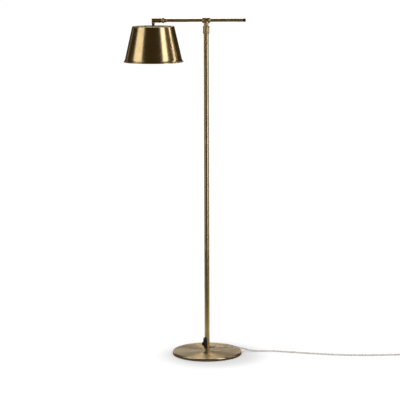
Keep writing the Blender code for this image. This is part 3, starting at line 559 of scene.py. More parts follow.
def smudges():
    """Group: soft patches, as hands and cloths leave them, between two noise levels."""
    tree, given, result = group("smudges", [("Place", "Vector", None), ("Size", "Float", 30.0)],
                                ["Patches", "Specks"])
    tree.links.new(ramp(tree, noise(tree, given["Place"], given["Size"], 2.0, 0.5), 0.45, 0.72),
                   result.inputs["Patches"])
    specks = noise(tree, given["Place"], times(tree, given["Size"], 40.0), 1.0, 0.4)
    tree.links.new(ramp(tree, specks, 0.70, 0.78), result.inputs["Specks"])
    return tree


RINGS, PATINA, SMUDGES = brushed_rings(), patina(), smudges()
print("shared effects:", RINGS.name, PATINA.name, SMUDGES.name)

# %% [markdown]
# ### Wiring a material
# Every finish starts from the Principled shader, reads the piece's own coordinates, its surface map and its
# wear value, and ends with a colour, a roughness and a bump.

# %% Helpers for materials
def shader_of(name, roughness, metallic=0.0, **sockets):
    """New material: (material, tree, its Principled shader) with its plain values set."""
    material = bpy.data.materials.new(name)
    material.use_nodes = True
    tree = material.node_tree
    shader = tree.nodes["Principled BSDF"]
    shader.inputs["Roughness"].default_value = roughness
    shader.inputs["Metallic"].default_value = metallic
    for key, value in sockets.items():
        shader.inputs[key.replace("_", " ")].default_value = value
    return material, tree, shader


def places(tree):
    """Sockets of the object's own coordinates, its surface map and its wear value."""
    coordinates = node(tree, "ShaderNodeTexCoord").outputs["Object"]
    surface = node(tree, "ShaderNodeUVMap", uv_map="surface").outputs["UV"]
    wear = node(tree, "ShaderNodeAttribute", attribute_name="wear").outputs["Fac"]
    return coordinates, surface, wear


def use(tree, effect, **inputs):
    """The effect's group placed in a material; its outputs by name."""
    return node(tree, "ShaderNodeGroup", inputs, node_tree=effect).outputs


def finish(tree, shader, colour, rough, height, strength, depth):
    """Wire the colour, the roughness and a bump of this height into the shader."""
    bump = node(tree, "ShaderNodeBump", {"Height": height, "Strength": strength, "Distance": depth})
    for key, socket in (("Base Color", colour), ("Roughness", rough), ("Normal", bump.outputs["Normal"])):
        tree.links.new(socket, shader.inputs[key])


print("materials start with shader_of and places, and end with finish")

# %% [markdown]
# ### Antique brass
# One function makes the brass for every piece. Brushing stretches each highlight across the rings, which
# the shader's anisotropy does; its direction has to turn by a quarter on pieces that stand upright, because
# without a tangent of its own the shader takes the direction round the vertical axis. The spool and the
# tee's neck were left satin, a little paler and redder, and the shade's top and the base's edge are almost
# polished and show no brushing. Numbers that are the same all over sit directly on the shader's sockets;
# only what varies is wired.

# %% Antique brass
CLOUD_SIZE = 14.0


def brass(name, pale, dark, rubbed, hollow, roughness, anisotropy, turn, fineness=2600.0, depth=0.00003):
    """Antique brass: pale to dark by tarnish, rubbed on edges, hollow in recesses, brushed in rings."""
    material, tree, shader = shader_of(name, roughness, 1.0, Anisotropic=anisotropy,
                                       Anisotropic_Rotation=turn)
    place, surface, wear = places(tree)
    rings = use(tree, RINGS, Surface=surface, Fineness=fineness)
    aged = use(tree, PATINA, Place=place, Turning=wear, Size=CLOUD_SIZE)
    touched = use(tree, SMUDGES, Place=place, Size=2 * CLOUD_SIZE)
    tarnish = added(tree, times(tree, aged["Tarnish"], 0.80), (rings["Bands"], 0.20))
    colour = layered(tree, blend_colour(tree, tarnish, pale, dark), (aged["Rubbed"], 0.75, rubbed),
                     (aged["Hollow"], 0.85, hollow), (touched["Specks"], 0.15, hollow))
    rough = added(tree, roughness - 0.05, (rings["Height"], 0.07), (touched["Patches"], 0.05),
                  (aged["Hollow"], 0.15))
    finish(tree, shader, colour, rough, rings["Height"], 0.35, depth)
    return material


PALE_BRASS = (0.63, 0.475, 0.255)
DARK_BRASS = (0.53, 0.385, 0.195)
RUBBED_BRASS = (0.80, 0.62, 0.36)
HOLLOW_BRASS = (0.09, 0.055, 0.025)
TONES = (PALE_BRASS, DARK_BRASS, RUBBED_BRASS, HOLLOW_BRASS)
upright_brass = brass("antique_brass_upright", *TONES, 0.24, 0.55, 0.25)
lying_brass = brass("antique_brass_lying", *TONES, 0.28, 0.65, 0.0, depth=0.00001)
satin_brass = brass("antique_brass_satin", (0.72, 0.53, 0.32), (0.62, 0.44, 0.25), *TONES[2:], 0.55, 0.0, 0.0)
base_brass = brass("antique_brass_base", *TONES, 0.34, 0.85, 0.25, fineness=1500.0)
flat_brass = brass("antique_brass_flat", *TONES, 0.15, 0.0, 0.0)
print("brass finishes made")

# %% [markdown]
# ### Plastics, felt, iron and the rest
# Moulded plastic is never one flat colour up close: the mould leaves a faint orange-peel texture, and wiping
# leaves softer and shinier patches. One function gives that to every plastic, with its own colour, gloss and
# grain. Cast iron, felt and plated steel get their own coarser or finer grain from the same function. Each
# row of the table gives two colours to drift between, the roughness, how metallic it is, and the grain's
# fineness and depth. The pieces that stay hidden inside the lamp wear these too, because a viewer may open
# the lamp.

# %% Moulded, cast and plated finishes
def moulded(name, colour, second, roughness, metallic=0.0, grain=900.0, depth=0.00004, **sockets):
    """Finish that drifts between two colours, with a fine grain in its bump and patches in its gloss."""
    material, tree, shader = shader_of(name, roughness, metallic, **sockets)
    place, _, wear = places(tree)
    aged = use(tree, PATINA, Place=place, Turning=wear, Size=40.0)
    touched = use(tree, SMUDGES, Place=place, Size=55.0)
    worn = tuple(min(1.0, 1.5 * x + 0.02) for x in second)
    colour = layered(tree, colour, (aged["Tarnish"], 0.8, second), (aged["Rubbed"], 0.3, worn))
    fine = noise(tree, place, grain, 3.0, 0.6)
    rough = added(tree, roughness - 0.06, (touched["Patches"], 0.10), (fine, 0.06))
    finish(tree, shader, colour, rough, fine, 0.4, depth)
    return material


FINISH = {"antique_brass": upright_brass}
for name, *look in (
        ("cast_iron", (0.055, 0.052, 0.05), (0.11, 0.075, 0.055), 0.72, 0.5, 500.0, 0.0003),
        ("zinc_steel", (0.60, 0.60, 0.58), (0.48, 0.46, 0.40), 0.32, 1.0, 1500.0),
        ("nylon", (0.74, 0.71, 0.63), (0.64, 0.60, 0.52), 0.48, 0.0, 1500.0),
        ("dark_cap", (0.055, 0.040, 0.027), (0.11, 0.075, 0.040), 0.30, 1.0, 1400.0),
        ("circuit_board", (0.04, 0.19, 0.07), (0.03, 0.13, 0.05), 0.45, 0.0, 700.0),
        ("bakelite", (0.020, 0.014, 0.011), (0.036, 0.022, 0.015), 0.26, 0.0, 800.0),
        ("shell_brass", (0.76, 0.60, 0.30), (0.62, 0.45, 0.20), 0.28, 1.0, 1500.0),
        ("relief_pvc", (0.30, 0.30, 0.27), (0.23, 0.23, 0.21), 0.34, 0.0, 900.0),
        ("tie_plastic", (0.075, 0.075, 0.078), (0.12, 0.12, 0.12), 0.60, 0.0, 1800.0, 0.0001),
        ("plug_plastic", (0.74, 0.74, 0.72), (0.66, 0.655, 0.63), 0.33, 0.0, 900.0),
        ("pin_nickel", (0.70, 0.68, 0.62), (0.58, 0.55, 0.48), 0.20, 1.0, 1600.0)):
    FINISH[name] = moulded(name, *look)
FINISH["black_felt"] = moulded("black_felt", (0.030, 0.030, 0.032), (0.055, 0.054, 0.052), 0.95, 0.0, 2600.0,
                               0.0005, Sheen_Weight=0.35, Sheen_Roughness=0.5)
FINISH["black_plastic"] = moulded("black_plastic", (0.007, 0.007, 0.008), (0.014, 0.013, 0.013), 0.34, 0.0,
                                  1700.0, Specular_IOR_Level=0.2)
FINISH["opal_glass"] = moulded("opal_glass", (0.90, 0.885, 0.85), (0.86, 0.84, 0.79), 0.22, 0.0, 300.0,
                               0.00002, Coat_Weight=0.5, Coat_Roughness=0.08)
white_lacquer = moulded("white_lacquer", (0.84, 0.83, 0.79), (0.78, 0.765, 0.71), 0.42, 0.0, 700.0)
print(len(FINISH), "finishes in the table")

# %% [markdown]
# ### Clear flex
# Through the clear sheath the two stranded cores can be seen winding round each other about every three
# centimetres. The map runs along the cord, so a wave of the way round plus the metres along draws them: one
# core is tinned and pale, the other is bare copper, with the sheath alone between them.

# %% The clear flex
def clear_flex(lay_length=0.030):
    """Sheath over two cores: core(u, v) = cos 2 pi (u + v / lay length), with strands as a finer wave."""
    material, tree, shader = shader_of("clear_pvc", 0.30, Transmission_Weight=0.85, IOR=1.47,
                                       Specular_IOR_Level=0.35)
    place, surface, _ = places(tree)
    parts = node(tree, "ShaderNodeSeparateXYZ", {0: surface}).outputs
    phase = reckon(tree, "ADD", parts["X"], reckon(tree, "DIVIDE", parts["Y"], lay_length))
    core = reckon(tree, "COSINE", times(tree, phase, 2 * math.pi))
    lengths = reckon(tree, "DIVIDE", parts["Y"], 0.006)
    strands = reckon(tree, "SUBTRACT", times(tree, parts["X"], 18.0), lengths)
    strands = ramp(tree, reckon(tree, "SINE", times(tree, strands, 2 * math.pi)), -1.0, 1.0)
    copper = blend_colour(tree, strands, (0.62, 0.54, 0.46), (0.76, 0.70, 0.63))
    tinned = blend_colour(tree, strands, (0.68, 0.68, 0.66), (0.82, 0.82, 0.80))
    colour = blend_colour(tree, ramp(tree, core, 0.15, 0.45), (0.92, 0.92, 0.91), tinned)
    colour = blend_colour(tree, ramp(tree, core, -0.15, -0.45), colour, copper)
    touched = use(tree, SMUDGES, Place=place, Size=60.0)
    finish(tree, shader, colour, added(tree, 0.26, (touched["Patches"], 0.14), clamp=False),
           noise(tree, place, 700.0), 0.2, 0.0001)
    return material


FINISH["clear_pvc"] = clear_flex()
flex.data.materials.append(FINISH["clear_pvc"])
print("the flex wears", FINISH["clear_pvc"].name)

# %% [markdown]
# ## The base
# A base like this is a cast iron disc that keeps the lamp from tipping, hidden under a thin spun brass cover
# with a softly rounded edge, and a felt pad that spares the floor. The cover is a ring-shaped outline: its
# top, its skirt, and the same again on the inside, a wall's thickness away. The rounded edge and the skirt
# are too narrow for the lathe's brushing and wear the almost polished finish.

# %% The base cover and its felt
BASE_RADIUS = 0.1400
BASE_TOP = 0.0120
COVER_WALL = 0.0012
COVER_FOOT = 0.0006
STUD_HOLE = 0.0053
EDGE_CORNERS = (1, 3)
cover = turned("base_disc", [
    (STUD_HOLE, BASE_TOP, 0.0002), (BASE_RADIUS, BASE_TOP, 0.0042), (BASE_RADIUS, COVER_FOOT, 0.0004),
    (BASE_RADIUS - COVER_WALL, COVER_FOOT, 0.0004), (BASE_RADIUS - COVER_WALL, BASE_TOP - COVER_WALL, 0.0016),
    (STUD_HOLE, BASE_TOP - COVER_WALL, 0.0002)], sides=192, steps=8, inside=EDGE_CORNERS)
belongs(cover, "stand", "antique_brass", "base_cover", finishes=[base_brass, flat_brass])
felt = turned("felt_pad", [(0, 0), (0.1345, 0, 0.0007), (0.1345, 0.0020, 0.0007), (0, 0.0020)], sides=128,
              ring=False)
belongs(felt, "stand", "black_felt", "base_pad")

# %% [markdown]
# ## The pole
# The pole ships in three lengths of thin tube that push together over inner sleeves, so two hairline joints
# show on it. Each tube is a plain outline with its ends just broken, which is what makes a joint visible.
# The lowest is drilled for the cord, the knob's shaft and the dimmer's two screws.

# %% The pole's three tubes
POLE_RADIUS = 0.0100
POLE_BORE = 0.0088
SWITCH_BEARING = math.radians(225)
CORD_BEARING = math.radians(25)
CORD_HEIGHT = 0.0245
KNOB_HEIGHT = 0.0420
UPPER_SCREW = 0.0630
LOWER_SCREW = 0.0258


def outwards(bearing):
    """Level direction of a bearing."""
    return math.cos(bearing), math.sin(bearing), 0.0


tubes = {}
for name, low, high in (("pole_lower", 0.0123, 0.44185), ("pole_middle", 0.44215, 0.87185),
                        ("pole_upper", 0.87215, 1.3160)):
    tubes[name] = tube(name.replace("pole", "pole_tube"), POLE_BORE, POLE_RADIUS, low, high, (0.0002, 0.0005),
                       longest=0.012)
holes = ((0.0043, CORD_BEARING, CORD_HEIGHT), (0.0025, SWITCH_BEARING, KNOB_HEIGHT),
         (0.0014, SWITCH_BEARING, UPPER_SCREW), (0.0014, SWITCH_BEARING, LOWER_SCREW))
drills = [drill(radius, 0.005, 0.015, outwards(bearing), (0, 0, height), sides=24)
          for radius, bearing, height in holes]
carve(tubes["pole_lower"], *drills)
for name, length in tubes.items():
    belongs(length, "stand", "antique_brass", name)

# %% [markdown]
# ## The head
# On the pole's top sits a small spool-shaped collar in satin brass, and a nylon washer lies on it, so that
# the head turns without a squeak.

# %% The collar and the washer
ARM_HEIGHT = 1.3548
COLLAR_FOOT = 1.3015
COLLAR_TOP = 1.3331
collar = turned("swivel_spool", [
    (0.0103, COLLAR_FOOT, 0.0001), (0.0110, COLLAR_FOOT, 0.0003), (0.0128, COLLAR_FOOT + 0.0034, 0.0006),
    (0.0134, COLLAR_FOOT + 0.0044, 0.0008), (0.0134, COLLAR_FOOT + 0.0068, 0.0008),
    (0.0127, COLLAR_FOOT + 0.0080, 0.0008), (0.0127, COLLAR_TOP - 0.0087, 0.0008),
    (0.0134, COLLAR_TOP - 0.0072, 0.0008), (0.0134, COLLAR_TOP - 0.0043, 0.0010),
    (0.0126, COLLAR_TOP - 0.0028, 0.0008), (0.0115, COLLAR_TOP, 0.0010), (0.0063, COLLAR_TOP, 0.0002),
    (0.0063, 1.3163, 0.0002), (0.0103, 1.3163, 0.0003)], sides=96)
belongs(collar, "stand", "antique_brass", "swivel_collar", finishes=[satin_brass])
washer = tube("swivel_glide", 0.0063, 0.0092, 1.3334, 1.3341, (0.0001, 0.0002))
belongs(washer, "head", "nylon", "swivel_washer")

# %% [markdown]
# ### The tee
# Above the washer turns the tee: a short beaded sleeve across the top of a satin neck, through which the arm
# slides in two nylon bushes. The sleeve and the neck are two turned shapes joined and then bored, as the
# brazed original was.

# %% The tee and its bushes
ALONG_ARM = (1, 0, 0)
ARM_AXIS = (0, 0, ARM_HEIGHT)
NECK_TOP = 1.3440
tee = solid("tee_sleeve", [
    (0, -0.0160), (0.0092, -0.0160, 0.0004), (0.0100, -0.0150, 0.0006), (0.0103, -0.0128, 0.0008),
    (0.0115, -0.0124, 0.0014), (0.0115, -0.0092, 0.0014), (0.0104, -0.0086, 0.0008), (0.0104, 0.0086, 0.0008),
    (0.0115, 0.0092, 0.0014), (0.0115, 0.0124, 0.0014), (0.0103, 0.0128, 0.0008), (0.0100, 0.0150, 0.0006),
    (0.0092, 0.0160, 0.0004), (0, 0.0160)], 72, ALONG_ARM, ARM_AXIS)
neck = solid("tee_neck", [(0, 1.3344), (0.0092, 1.3344, 0.0003), (0.0095, 1.3352, 0.0004),
                          (0.0095, 1.3440, 0.0060), (0.0101, 1.3490, 0.0040), (0.0101, ARM_HEIGHT - 0.0010),
                          (0, ARM_HEIGHT - 0.0010)], 72)
carve(tee, neck, operation="UNION")
carve(tee, drill(0.0088, -0.03, 0.03, ALONG_ARM, ARM_AXIS), drill(0.0063, 1.3300, ARM_HEIGHT - 0.0030),
      drill(0.0020, 0.0052, 0.0160, (0, 1, 0), ARM_AXIS))
belongs(tee, "head", "antique_brass", "tee_fitting", finishes=[lying_brass, satin_brass])
repaint(tee, 1, lambda centres, normals: centres[:, 2] < NECK_TOP)
for name, low in (("sleeve_bush_left", -0.0145), ("sleeve_bush_right", 0.0055)):
    bush = tube(name.replace("sleeve", "slide"), 0.0068, 0.0085, low, low + 0.0090, (0.0003, 0.0004),
                64, ALONG_ARM, ARM_AXIS)
    belongs(bush, "head", "nylon", name)

# %% [markdown]
# ### The thumb screw
# A knurled screw behind the tee holds the slide. Knurls and ribs are waves of the radius round the axis, cut
# only where the outline is widest, so the screw's shank and face stay smooth.

# %% The thumb screw
def knurl(ribs, depth, least):
    """Swell that cuts shallow grooves along the axis wherever the radius is above the least one."""
    return lambda a, r, h: r - np.where(r > least, depth * np.abs(np.cos(ribs * a / 2)), 0)


screw = solid("slide_thumb_screw", [
    (0, 0.0068), (0.0017, 0.0068, 0.0002), (0.0017, 0.0130, 0.0002), (0.0038, 0.0130, 0.0003),
    (0.0044, 0.0136, 0.0003), (0.0044, 0.0186, 0.0003), (0.0037, 0.0192, 0.0003), (0, 0.0192)],
    144, (0, 1, 0), ARM_AXIS, swell=knurl(24, 0.00028, 0.0042))
belongs(screw, "head", "antique_brass", "slide_screw", finishes=[lying_brass])

# %% [markdown]
# ## The arm
# The arm is a slim tube that lies through the tee. A slot along its underside lets the lead pass from the
# stem into the arm at any slide, a dark cap closes its right end, and on its left end sits a beaded collar
# that carries the elbow's hollow axle.

# %% The arm, its cap and its collar
arm = tube("arm_rod", 0.0053, 0.0065, -0.1685, 0.1450, (0.0002, 0.0004), 64, ALONG_ARM, ARM_AXIS,
           longest=0.008)
carve(arm, bar((-0.0740, -0.0025, ARM_HEIGHT - 0.0090), (0.1240, 0.0025, ARM_HEIGHT - 0.0020)))
belongs(arm, "arm", "antique_brass", "arm_tube", finishes=[lying_brass])
cap = solid("arm_end_button", [
    (0, 0.1353), (0.0050, 0.1353, 0.0004), (0.0050, 0.1453, 0.0001), (0.0065, 0.1453, 0.0003),
    (0.0065, 0.1564, 0.0010), (0.0052, 0.1569, 0.0012), (0, 0.1570)], 64, ALONG_ARM, ARM_AXIS)
belongs(cap, "arm", "dark_cap", "arm_end_cap")
ring = turned("elbow_collar", [
    (0.0051, -0.1755, 0.0002), (0.0091, -0.1755, 0.0003), (0.00925, -0.1742, 0.0004),
    (0.0096, -0.1728, 0.0006), (0.0116, -0.1720, 0.0014), (0.0116, -0.1690, 0.0014),
    (0.0094, -0.1680, 0.0008), (0.0090, -0.1672, 0.0010), (0.0076, -0.1580, 0.0006),
    (0.0073, -0.1570, 0.0003), (0.0068, -0.1570, 0.0001), (0.0068, -0.1688, 0.0002),
    (0.0051, -0.1688, 0.0002)], 80, ALONG_ARM, ARM_AXIS)
belongs(ring, "arm", "antique_brass", "elbow_ring", finishes=[lying_brass])
glide = tube("elbow_glide", 0.0051, 0.0090, -0.1764, -0.1758, (0.0001, 0.0002), 64, ALONG_ARM, ARM_AXIS)
belongs(glide, "arm", "nylon", "elbow_washer")

# %% [markdown]
# ## The elbow
# The elbow is a thicker barrel that turns on the arm's end, so that the shade can be tilted forwards or
# back. A short tapered drop under its left end takes the threaded nipple that the shade hangs from. Barrel
# and drop are two turned shapes joined and bored. The lower part of the drop wears the dark cap finish as
# painted shade.

# %% The elbow's barrel
DROP_X = -0.2100
ELBOW_END = -0.2161
DROP_PAINTED_SHADE_BELOW = 1.3455
barrel = solid("elbow_housing", [
    (0, ELBOW_END), (0.00925, ELBOW_END, 0.0009), (0.00925, -0.1767, 0.0007), (0, -0.1767)],
    72, ALONG_ARM, ARM_AXIS)
drop = solid("elbow_drop", [
    (0, 1.3330), (0.0048, 1.3330, 0.0003), (0.0049, 1.3345, 0.0008), (0.0058, 1.3425, 0.0030),
    (0.0066, 1.3475, 0.0020), (0.0066, ARM_HEIGHT), (0, ARM_HEIGHT)], 56, at=(DROP_X, 0, 0))
carve(barrel, drop, operation="UNION")
carve(barrel, drill(0.0075, ELBOW_END - 0.0100, -0.1797, ALONG_ARM, ARM_AXIS),
      drill(0.0051, ELBOW_END, -0.1667, ALONG_ARM, ARM_AXIS),
      drill(0.0040, 1.3230, ARM_HEIGHT, at=(DROP_X, 0, 0)))
belongs(barrel, "shade_group", "antique_brass", "elbow_barrel", finishes=[lying_brass, FINISH["dark_cap"]])
# The drop's faces below this height take the dark cap finish as painted shade.
repaint(barrel, 1, lambda centres, normals: centres[:, 2] < DROP_PAINTED_SHADE_BELOW)
plug = solid("elbow_end_button", [
    (0, ELBOW_END), (0.0072, ELBOW_END, 0.0004), (0.0072, -0.2143, 0.0003), (0, -0.2143)],
    56, ALONG_ARM, ARM_AXIS)
belongs(plug, "shade_group", "antique_brass", "elbow_end_plug", finishes=[lying_brass])

# %% [markdown]
# ## The shade
# The shade was spun from a flat brass disc over a wooden cone: a closed flat top, a straight wall, and at the
# foot a small cove before the edge is rolled into a bead for stiffness. It is one profile turned round the
# shade's axis. The inside is lacquered warm white to throw the light down, so the rows of that side wear a
# second finish, and the flat top, which was never brushed, wears a third.

# %% The shade
SHADE_AXIS = (DROP_X, 0.0, 0.0)
SHADE_CORNERS = [
    (0.0040, 1.3325, 0.0002), (0.0835, 1.3325, 0.0038), (0.1139, 1.2010, 0.0010), (0.1148, 1.1988, 0.0010),
    (0.1166, 1.1952, 0.0008), (0.1172, 1.19435, 0.0006), (0.1191, 1.1938, 0.0012), (0.1197, 1.1921, 0.0014),
    (0.1189, 1.1901, 0.0012), (0.1170, 1.1897, 0.0012), (0.1152, 1.1908, 0.0010), (0.1152, 1.1932, 0.0008),
    (0.1147, 1.1958, 0.0008), (0.1131, 1.2010, 0.0010), (0.0827, 1.3317, 0.0030), (0.0040, 1.3317, 0.0002)]
INSIDE_FROM = 11
TOP_FROM = 1.3320
TOP_FACES_UP = 0.9
shade = turned("spun_shade", SHADE_CORNERS, sides=160, at=SHADE_AXIS, longest=0.005,
               inside=(INSIDE_FROM, len(SHADE_CORNERS)))
belongs(shade, "shade_group", "antique_brass", "shade", finishes=[upright_brass, white_lacquer, flat_brass])
repaint(shade, 2, lambda centres, normals: (centres[:, 2] > TOP_FROM) & (normals[:, 2] > TOP_FACES_UP))

# %% [markdown]
# ## The lampholder and the bulb
# Under the shade's top hangs a dark screw lampholder in two halves, ribbed for the fingers, and a small
# opal bulb. They are only seen from below, but a lamp without them would be an empty hat.

# %% The lampholder and the bulb
SHADE_TOP, SHADE_WALL, CLAMP_WASHER = 1.3325, 0.0008, 0.0021
cap_top = SHADE_TOP - SHADE_WALL - CLAMP_WASHER
holder_cap = turned("holder_cap", [
    (0.0040, cap_top, 0.0002), (0.0092, cap_top, 0.0008), (0.0110, cap_top - 0.0022, 0.0020),
    (0.0168, cap_top - 0.0072, 0.0030), (0.0192, cap_top - 0.0105, 0.0015), (0.0192, 1.3130, 0.0004),
    (0.0177, 1.3130, 0.0003), (0.0177, cap_top - 0.0110, 0.0012), (0.0153, cap_top - 0.0090, 0.0020),
    (0.0100, cap_top - 0.0062, 0.0012), (0.0040, cap_top - 0.0062, 0.0002)], 96, at=SHADE_AXIS)
belongs(holder_cap, "shade_group", "bakelite", "lampholder_cap")
holder = turned("holder_body", [
    (0.0030, 1.3127, 0.0002), (0.0192, 1.3127, 0.0004), (0.0192, 1.2915, 0.0006), (0.0180, 1.2900, 0.0006),
    (0.0176, 1.2790, 0.0006), (0.0150, 1.2790, 0.0004), (0.0150, 1.3102, 0.0004), (0.0030, 1.3102, 0.0002)],
    192, at=SHADE_AXIS, longest=0.003, swell=knurl(32, 0.00045, 0.01905))
belongs(holder, "shade_group", "bakelite", "lampholder_body")
GLOBE_RADIUS, GLOBE_HEIGHT = 0.0225, 1.2505
round_part = [(GLOBE_RADIUS * math.cos(a), GLOBE_HEIGHT + GLOBE_RADIUS * math.sin(a))
              for a in np.radians(np.linspace(42, -88, 24))]
globe_corners = [(0, 1.2812), (0.0123, 1.2812, 0.0004), (0.0128, 1.2787, 0.0010), (0.0152, 1.2722, 0.0030),
                 *round_part, (0, 1.2280)]
globe = solid("bulb_glass", globe_corners, 96, at=SHADE_AXIS)
belongs(globe, "shade_group", "opal_glass", "bulb_globe")

# %% [markdown]
# ## The dimmer
# A black moulded housing sits saddled on the pole's foot, at its front left, with a round knob. Seen from
# the front it is a stadium: two half circles and two straight sides. Rows run from a line down the middle of
# its back, out to the edge, over the rounded rim and in to the same line on its face, and the face steps
# back below the knob. The two middle lines are welded afterwards.

# %% The dimmer's housing
UPPER_FACE = 0.0160
LOWER_FACE = 0.0130


def smoothstep(x):
    """3x^2 - 2x^3 of x held between 0 and 1."""
    x = np.clip(x, 0, 1)
    return 3 * x**2 - 2 * x**3


def dimmer_housing():
    """Stadium-shaped housing: P(f, s) = M(s) + f (O(s) - M(s)), O on the outline and M on its middle line."""
    half, foot, top, rim = 0.0070, 0.0270, 0.0620, 0.0012
    side = np.concatenate([np.linspace(foot, 0.0294, 3)[:-1], np.linspace(0.0297, 0.0311, 6),
                           np.linspace(0.0316, top, 9)])
    arc = np.linspace(0, math.pi, 19)[1:-1]
    y = np.concatenate([0 * side + half, half * np.cos(arc), 0 * side - half, -half * np.cos(arc)])
    z = np.concatenate([side, top + half * np.sin(arc), side[::-1], foot - half * np.sin(arc)])
    middle = np.clip(z, foot, top)
    share = np.concatenate([np.linspace(0, 1, 7), np.ones(5), 1 - rim / half * (1 - np.cos(
        np.linspace(0, math.pi / 2, 6)[1:])), np.linspace(1 - rim / half, 0, 7)[1:]])
    rise = np.concatenate([np.zeros(7), np.linspace(0, 1, 6)[1:], np.ones(11)])
    drop = np.concatenate([np.zeros(11), rim * np.ones(1), rim * (1 - np.sin(
        np.linspace(0, math.pi / 2, 6)[1:])), np.zeros(6)])
    py = share[:, None] * y
    pz = middle + share[:, None] * (z - middle)
    back = np.sqrt(0.0103**2 - py**2)
    flat = LOWER_FACE + (UPPER_FACE - LOWER_FACE) * smoothstep((pz - 0.0298) / 0.0012)
    face = np.where(rise[:, None] < 1, flat - rim, flat - drop[:, None])
    px = back + rise[:, None] * (face - back)
    cos, sin = math.cos(SWITCH_BEARING), math.sin(SWITCH_BEARING)
    grid = np.stack([px * cos - py * sin, px * sin + py * cos, pz], -1)
    along = np.linspace(0, 0.03, len(grid))
    piece = grid_piece("dimmer_housing", grid, along, wear=1.2 * (drop > 0) * (drop < rim))
    shape = bmesh.new()
    shape.from_mesh(piece.data)
    bmesh.ops.remove_doubles(shape, verts=shape.verts, dist=1e-6)
    shape.to_mesh(piece.data)
    shape.free()
    return piece


housing = dimmer_housing()
out = outwards(SWITCH_BEARING)
carve(housing, drill(0.0023, 0.0090, 0.0200, out, (0, 0, KNOB_HEIGHT)),
      drill(0.0025, 0.0146, 0.0200, out, (0, 0, UPPER_SCREW)),
      drill(0.0025, 0.0116, 0.0200, out, (0, 0, LOWER_SCREW)))
belongs(housing, "stand", "black_plastic", "switch_housing")

# %% [markdown]
# ### The dimmer's screws and knob
# Two cross-slotted screws hold the housing. The knob is knurled, with a dished face, and a shallow groove in
# that face points up when the lamp is off, so that the eye can follow its turn.

# %% The dimmer's screws and knob
for name, height, face in (("switch_screw_upper", UPPER_SCREW, UPPER_FACE),
                           ("switch_screw_lower", LOWER_SCREW, LOWER_FACE)):
    seat = face - 0.0014
    screw = solid(name.replace("switch", "dimmer"), [
        (0, 0.0084), (0.0011, 0.0084, 0.0002), (0.0011, seat, 0.0001), (0.0022, seat, 0.0002),
        (0.0022, face - 0.0002, 0.0004), (0.0014, face, 0.0004), (0, face)], 32, out, (0, 0, height))
    slots = [bar((face - 0.0006, -y, height - z), (face + 0.001, y, height + z), SWITCH_BEARING)
             for y, z in ((0.0003, 0.0013), (0.0013, 0.0003))]
    carve(screw, *slots)
    belongs(screw, "stand", "zinc_steel", name)
knob = solid("dimmer_knob", [
    (0, 0.0212), (0.0054, 0.0212, 0.0008), (0.0063, 0.0218, 0.0005), (0.0084, 0.0218, 0.0010),
    (0.0100, 0.0196, 0.0014), (0.0103, 0.0186, 0.0006), (0.0103, 0.0163, 0.0004), (0.0023, 0.0163, 0.0002),
    (0.0023, 0.0200, 0.0001), (0, 0.0200)], 240, out, (0, 0, KNOB_HEIGHT), longest=0.0015,
    swell=knurl(40, 0.00030, 0.00985))
groove = bar((0.0213, -0.0004, 0.0476), (0.0225, 0.0004, 0.0508), SWITCH_BEARING)
carve(knob, groove)
belongs(knob, "knob", "black_plastic", "switch_knob")

# %% [markdown]
# ## The cord's fittings
# A soft ribbed relief keeps the cord from kinking where it leaves the pole. Its ribs shrink as they go, so
# their corners are listed by a loop.

# %% The strain relief
relief_corners = [(0, 0.0076), (0.0040, 0.0076, 0.0003), (0.0040, 0.0103, 0.0001), (0.0056, 0.0103, 0.0004),
                  (0.0056, 0.0118, 0.0005), (0.0048, 0.0125, 0.0004)]
for k in range(6):
    place, wide = 0.0138 + 0.0032 * k, 0.0047 - 0.00018 * k
    relief_corners += [(wide, place, 0.0003), (wide - 0.0010, place + 0.0005, 0.0002),
                       (wide - 0.0010, place + 0.0012, 0.0002), (wide - 0.00005, place + 0.0017, 0.0003)]
relief_corners += [(0.0037, 0.0336, 0.0003), (0.0033, 0.0343, 0.0003), (0, 0.0343)]
relief = solid("cord_relief", relief_corners, 48, outwards(CORD_BEARING), (0, 0, CORD_HEIGHT), longest=0.003)
belongs(relief, "stand", "relief_pvc", "strain_relief")

# %% [markdown]
# ### The straps
# Two flat straps hold the coil. Each is a superellipse carried round a rounded rectangle. A superellipse is
# an ellipse whose cosine and sine are raised to a power: below one it grows square.

# %% The coil's straps
def superellipse(angle, power):
    """Cosine and sine of the angle, each to the power, with its sign kept."""
    return [np.sign(wave) * np.abs(wave)**power for wave in (np.cos(angle), np.sin(angle))]


def strap(name, bearing):
    """Flat band round the coil: P(i, a) = loop(i) + t c(a) n(i) + w d(a) s, with a superellipse (c, d)."""
    loop, _ = outline([(0.0184, 0.0004, 0.0026), (0.0424, 0.0004, 0.0026), (0.0424, 0.0128, 0.0026),
                       (0.0184, 0.0128, 0.0026)], longest=0.0015)
    step = np.roll(loop, -1, 0) - np.roll(loop, 1, 0)
    step /= np.linalg.norm(step, axis=1, keepdims=True)
    normal = np.stack([step[:, 1], -step[:, 0]], -1)
    a = np.linspace(0, 2 * math.pi, 24, endpoint=False)
    thick, wide = superellipse(a, 0.4)
    thick, wide = 0.0004 * thick, 0.0030 * wide
    flat = loop[:, None] + thick[None, :, None] * normal[:, None]
    cos, sin = math.cos(bearing), math.sin(bearing)
    grid = np.stack([COIL_CENTRE[0] + flat[..., 0] * cos - wide * sin,
                     COIL_CENTRE[1] + flat[..., 0] * sin + wide * cos, flat[..., 1]], -1)
    return grid_piece(name, grid, metres_along(loop), loop_rows=True)


for name, bearing in (("coil_tie_front", 215), ("coil_tie_back", 125)):
    belongs(strap(name.replace("tie", "strap"), math.radians(bearing)), "stand", "tie_plastic", name)
